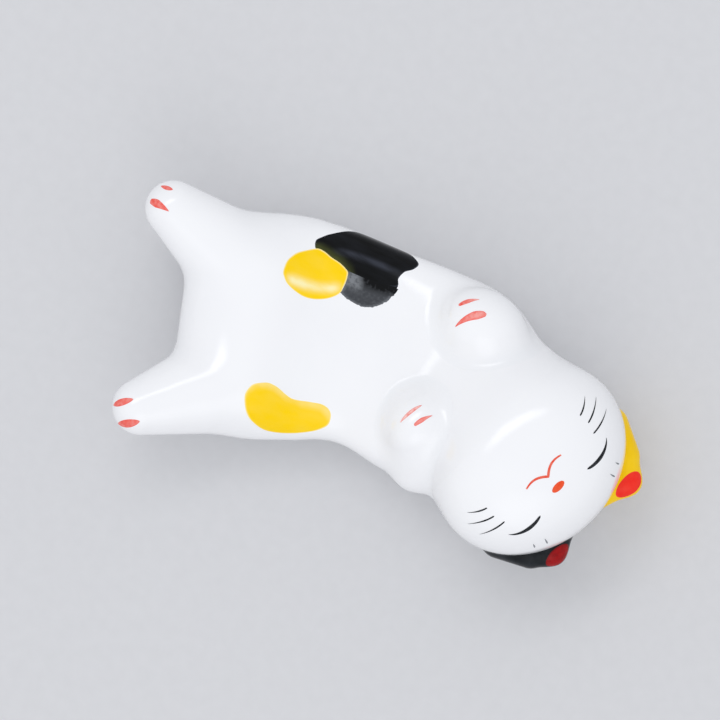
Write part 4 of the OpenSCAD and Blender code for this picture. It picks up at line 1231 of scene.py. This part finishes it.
floor = bpy.data.objects.new("floor", floor_mesh)
floor.data.materials.append(floor_finish)
bpy.context.scene.collection.objects.link(floor)
print("floor:", FLOOR_SIZE, "m wide")

# %% Lamps
CLOTH_FADE = 0.75  # the outer part of the cloth over which the light fades away


def soft_lamp(name, place, size, watts):
    """A cloth-covered lamp that looks at the cat and fades towards its edge."""
    light = bpy.data.lights.new(name, "AREA")
    light.shape, light.energy = "RECTANGLE", watts
    light.size, light.size_y = size
    light.use_nodes = True
    tree = light.node_tree
    tree.nodes.clear()
    off = add_node(tree, "NewGeometry").outputs["Parametric"]
    for operation, by in [("SUBTRACT", (0.5, 0.5, 0.0)), ("MULTIPLY", (2.0, 2.0, 0.0))]:
        off = add_node(tree, "VectorMath", {0: off, 1: by}, operation=operation).outputs[0]
    off = add_node(tree, "VectorMath", {0: off}, operation="LENGTH").outputs["Value"]
    fade = {"Value": off, 1: 1.0 - CLOTH_FADE, 2: 1.0, 3: 1.0, 4: 0.0}
    glow = add_node(tree, "MapRange", fade, interpolation_type="SMOOTHSTEP").outputs[0]
    shine = add_node(tree, "Emission", {"Color": (1.0, 1.0, 1.0, 1.0), "Strength": glow})
    add_node(tree, "OutputLight", {0: shine.outputs[0]})
    lamp = bpy.data.objects.new(name, light)
    bpy.context.scene.collection.objects.link(lamp)
    lamp.location = place
    lamp.rotation_euler = (-Vector(place)).to_track_quat("-Z", "Y").to_euler()


soft_lamp("key_strip", (-0.44, 0.3, 0.85), (1.3, 0.34), 4.0)
soft_lamp("fill_softbox", (0.32, -0.62, 0.6), (1.2, 1.2), 3.5)

# %% Sky, which the camera sees as a backdrop of the floor's colour
SKY_STRENGTH = 0.93
world = bpy.data.worlds.new("studio")
bpy.context.scene.world = world
world.use_nodes = True
tree = world.node_tree
tree.nodes.clear()
path = add_node(tree, "LightPath").outputs
rays = {0: path["Is Camera Ray"], 1: path["Is Transmission Ray"]}
seen = add_node(tree, "Math", rays, operation="MAXIMUM").outputs[0]
sky = add_node(tree, "Background", {"Color": linear("#F4F6FA"), "Strength": SKY_STRENGTH})
backdrop = add_node(tree, "Background", {"Color": linear("#D5D5D7"), "Strength": 1.0})
both = add_node(tree, "MixShader", {0: seen, 1: sky.outputs[0], 2: backdrop.outputs[0]})
add_node(tree, "OutputWorld", {0: both.outputs[0]})
bpy.context.scene.view_settings.view_transform = "Standard"
print("sky strength:", SKY_STRENGTH)
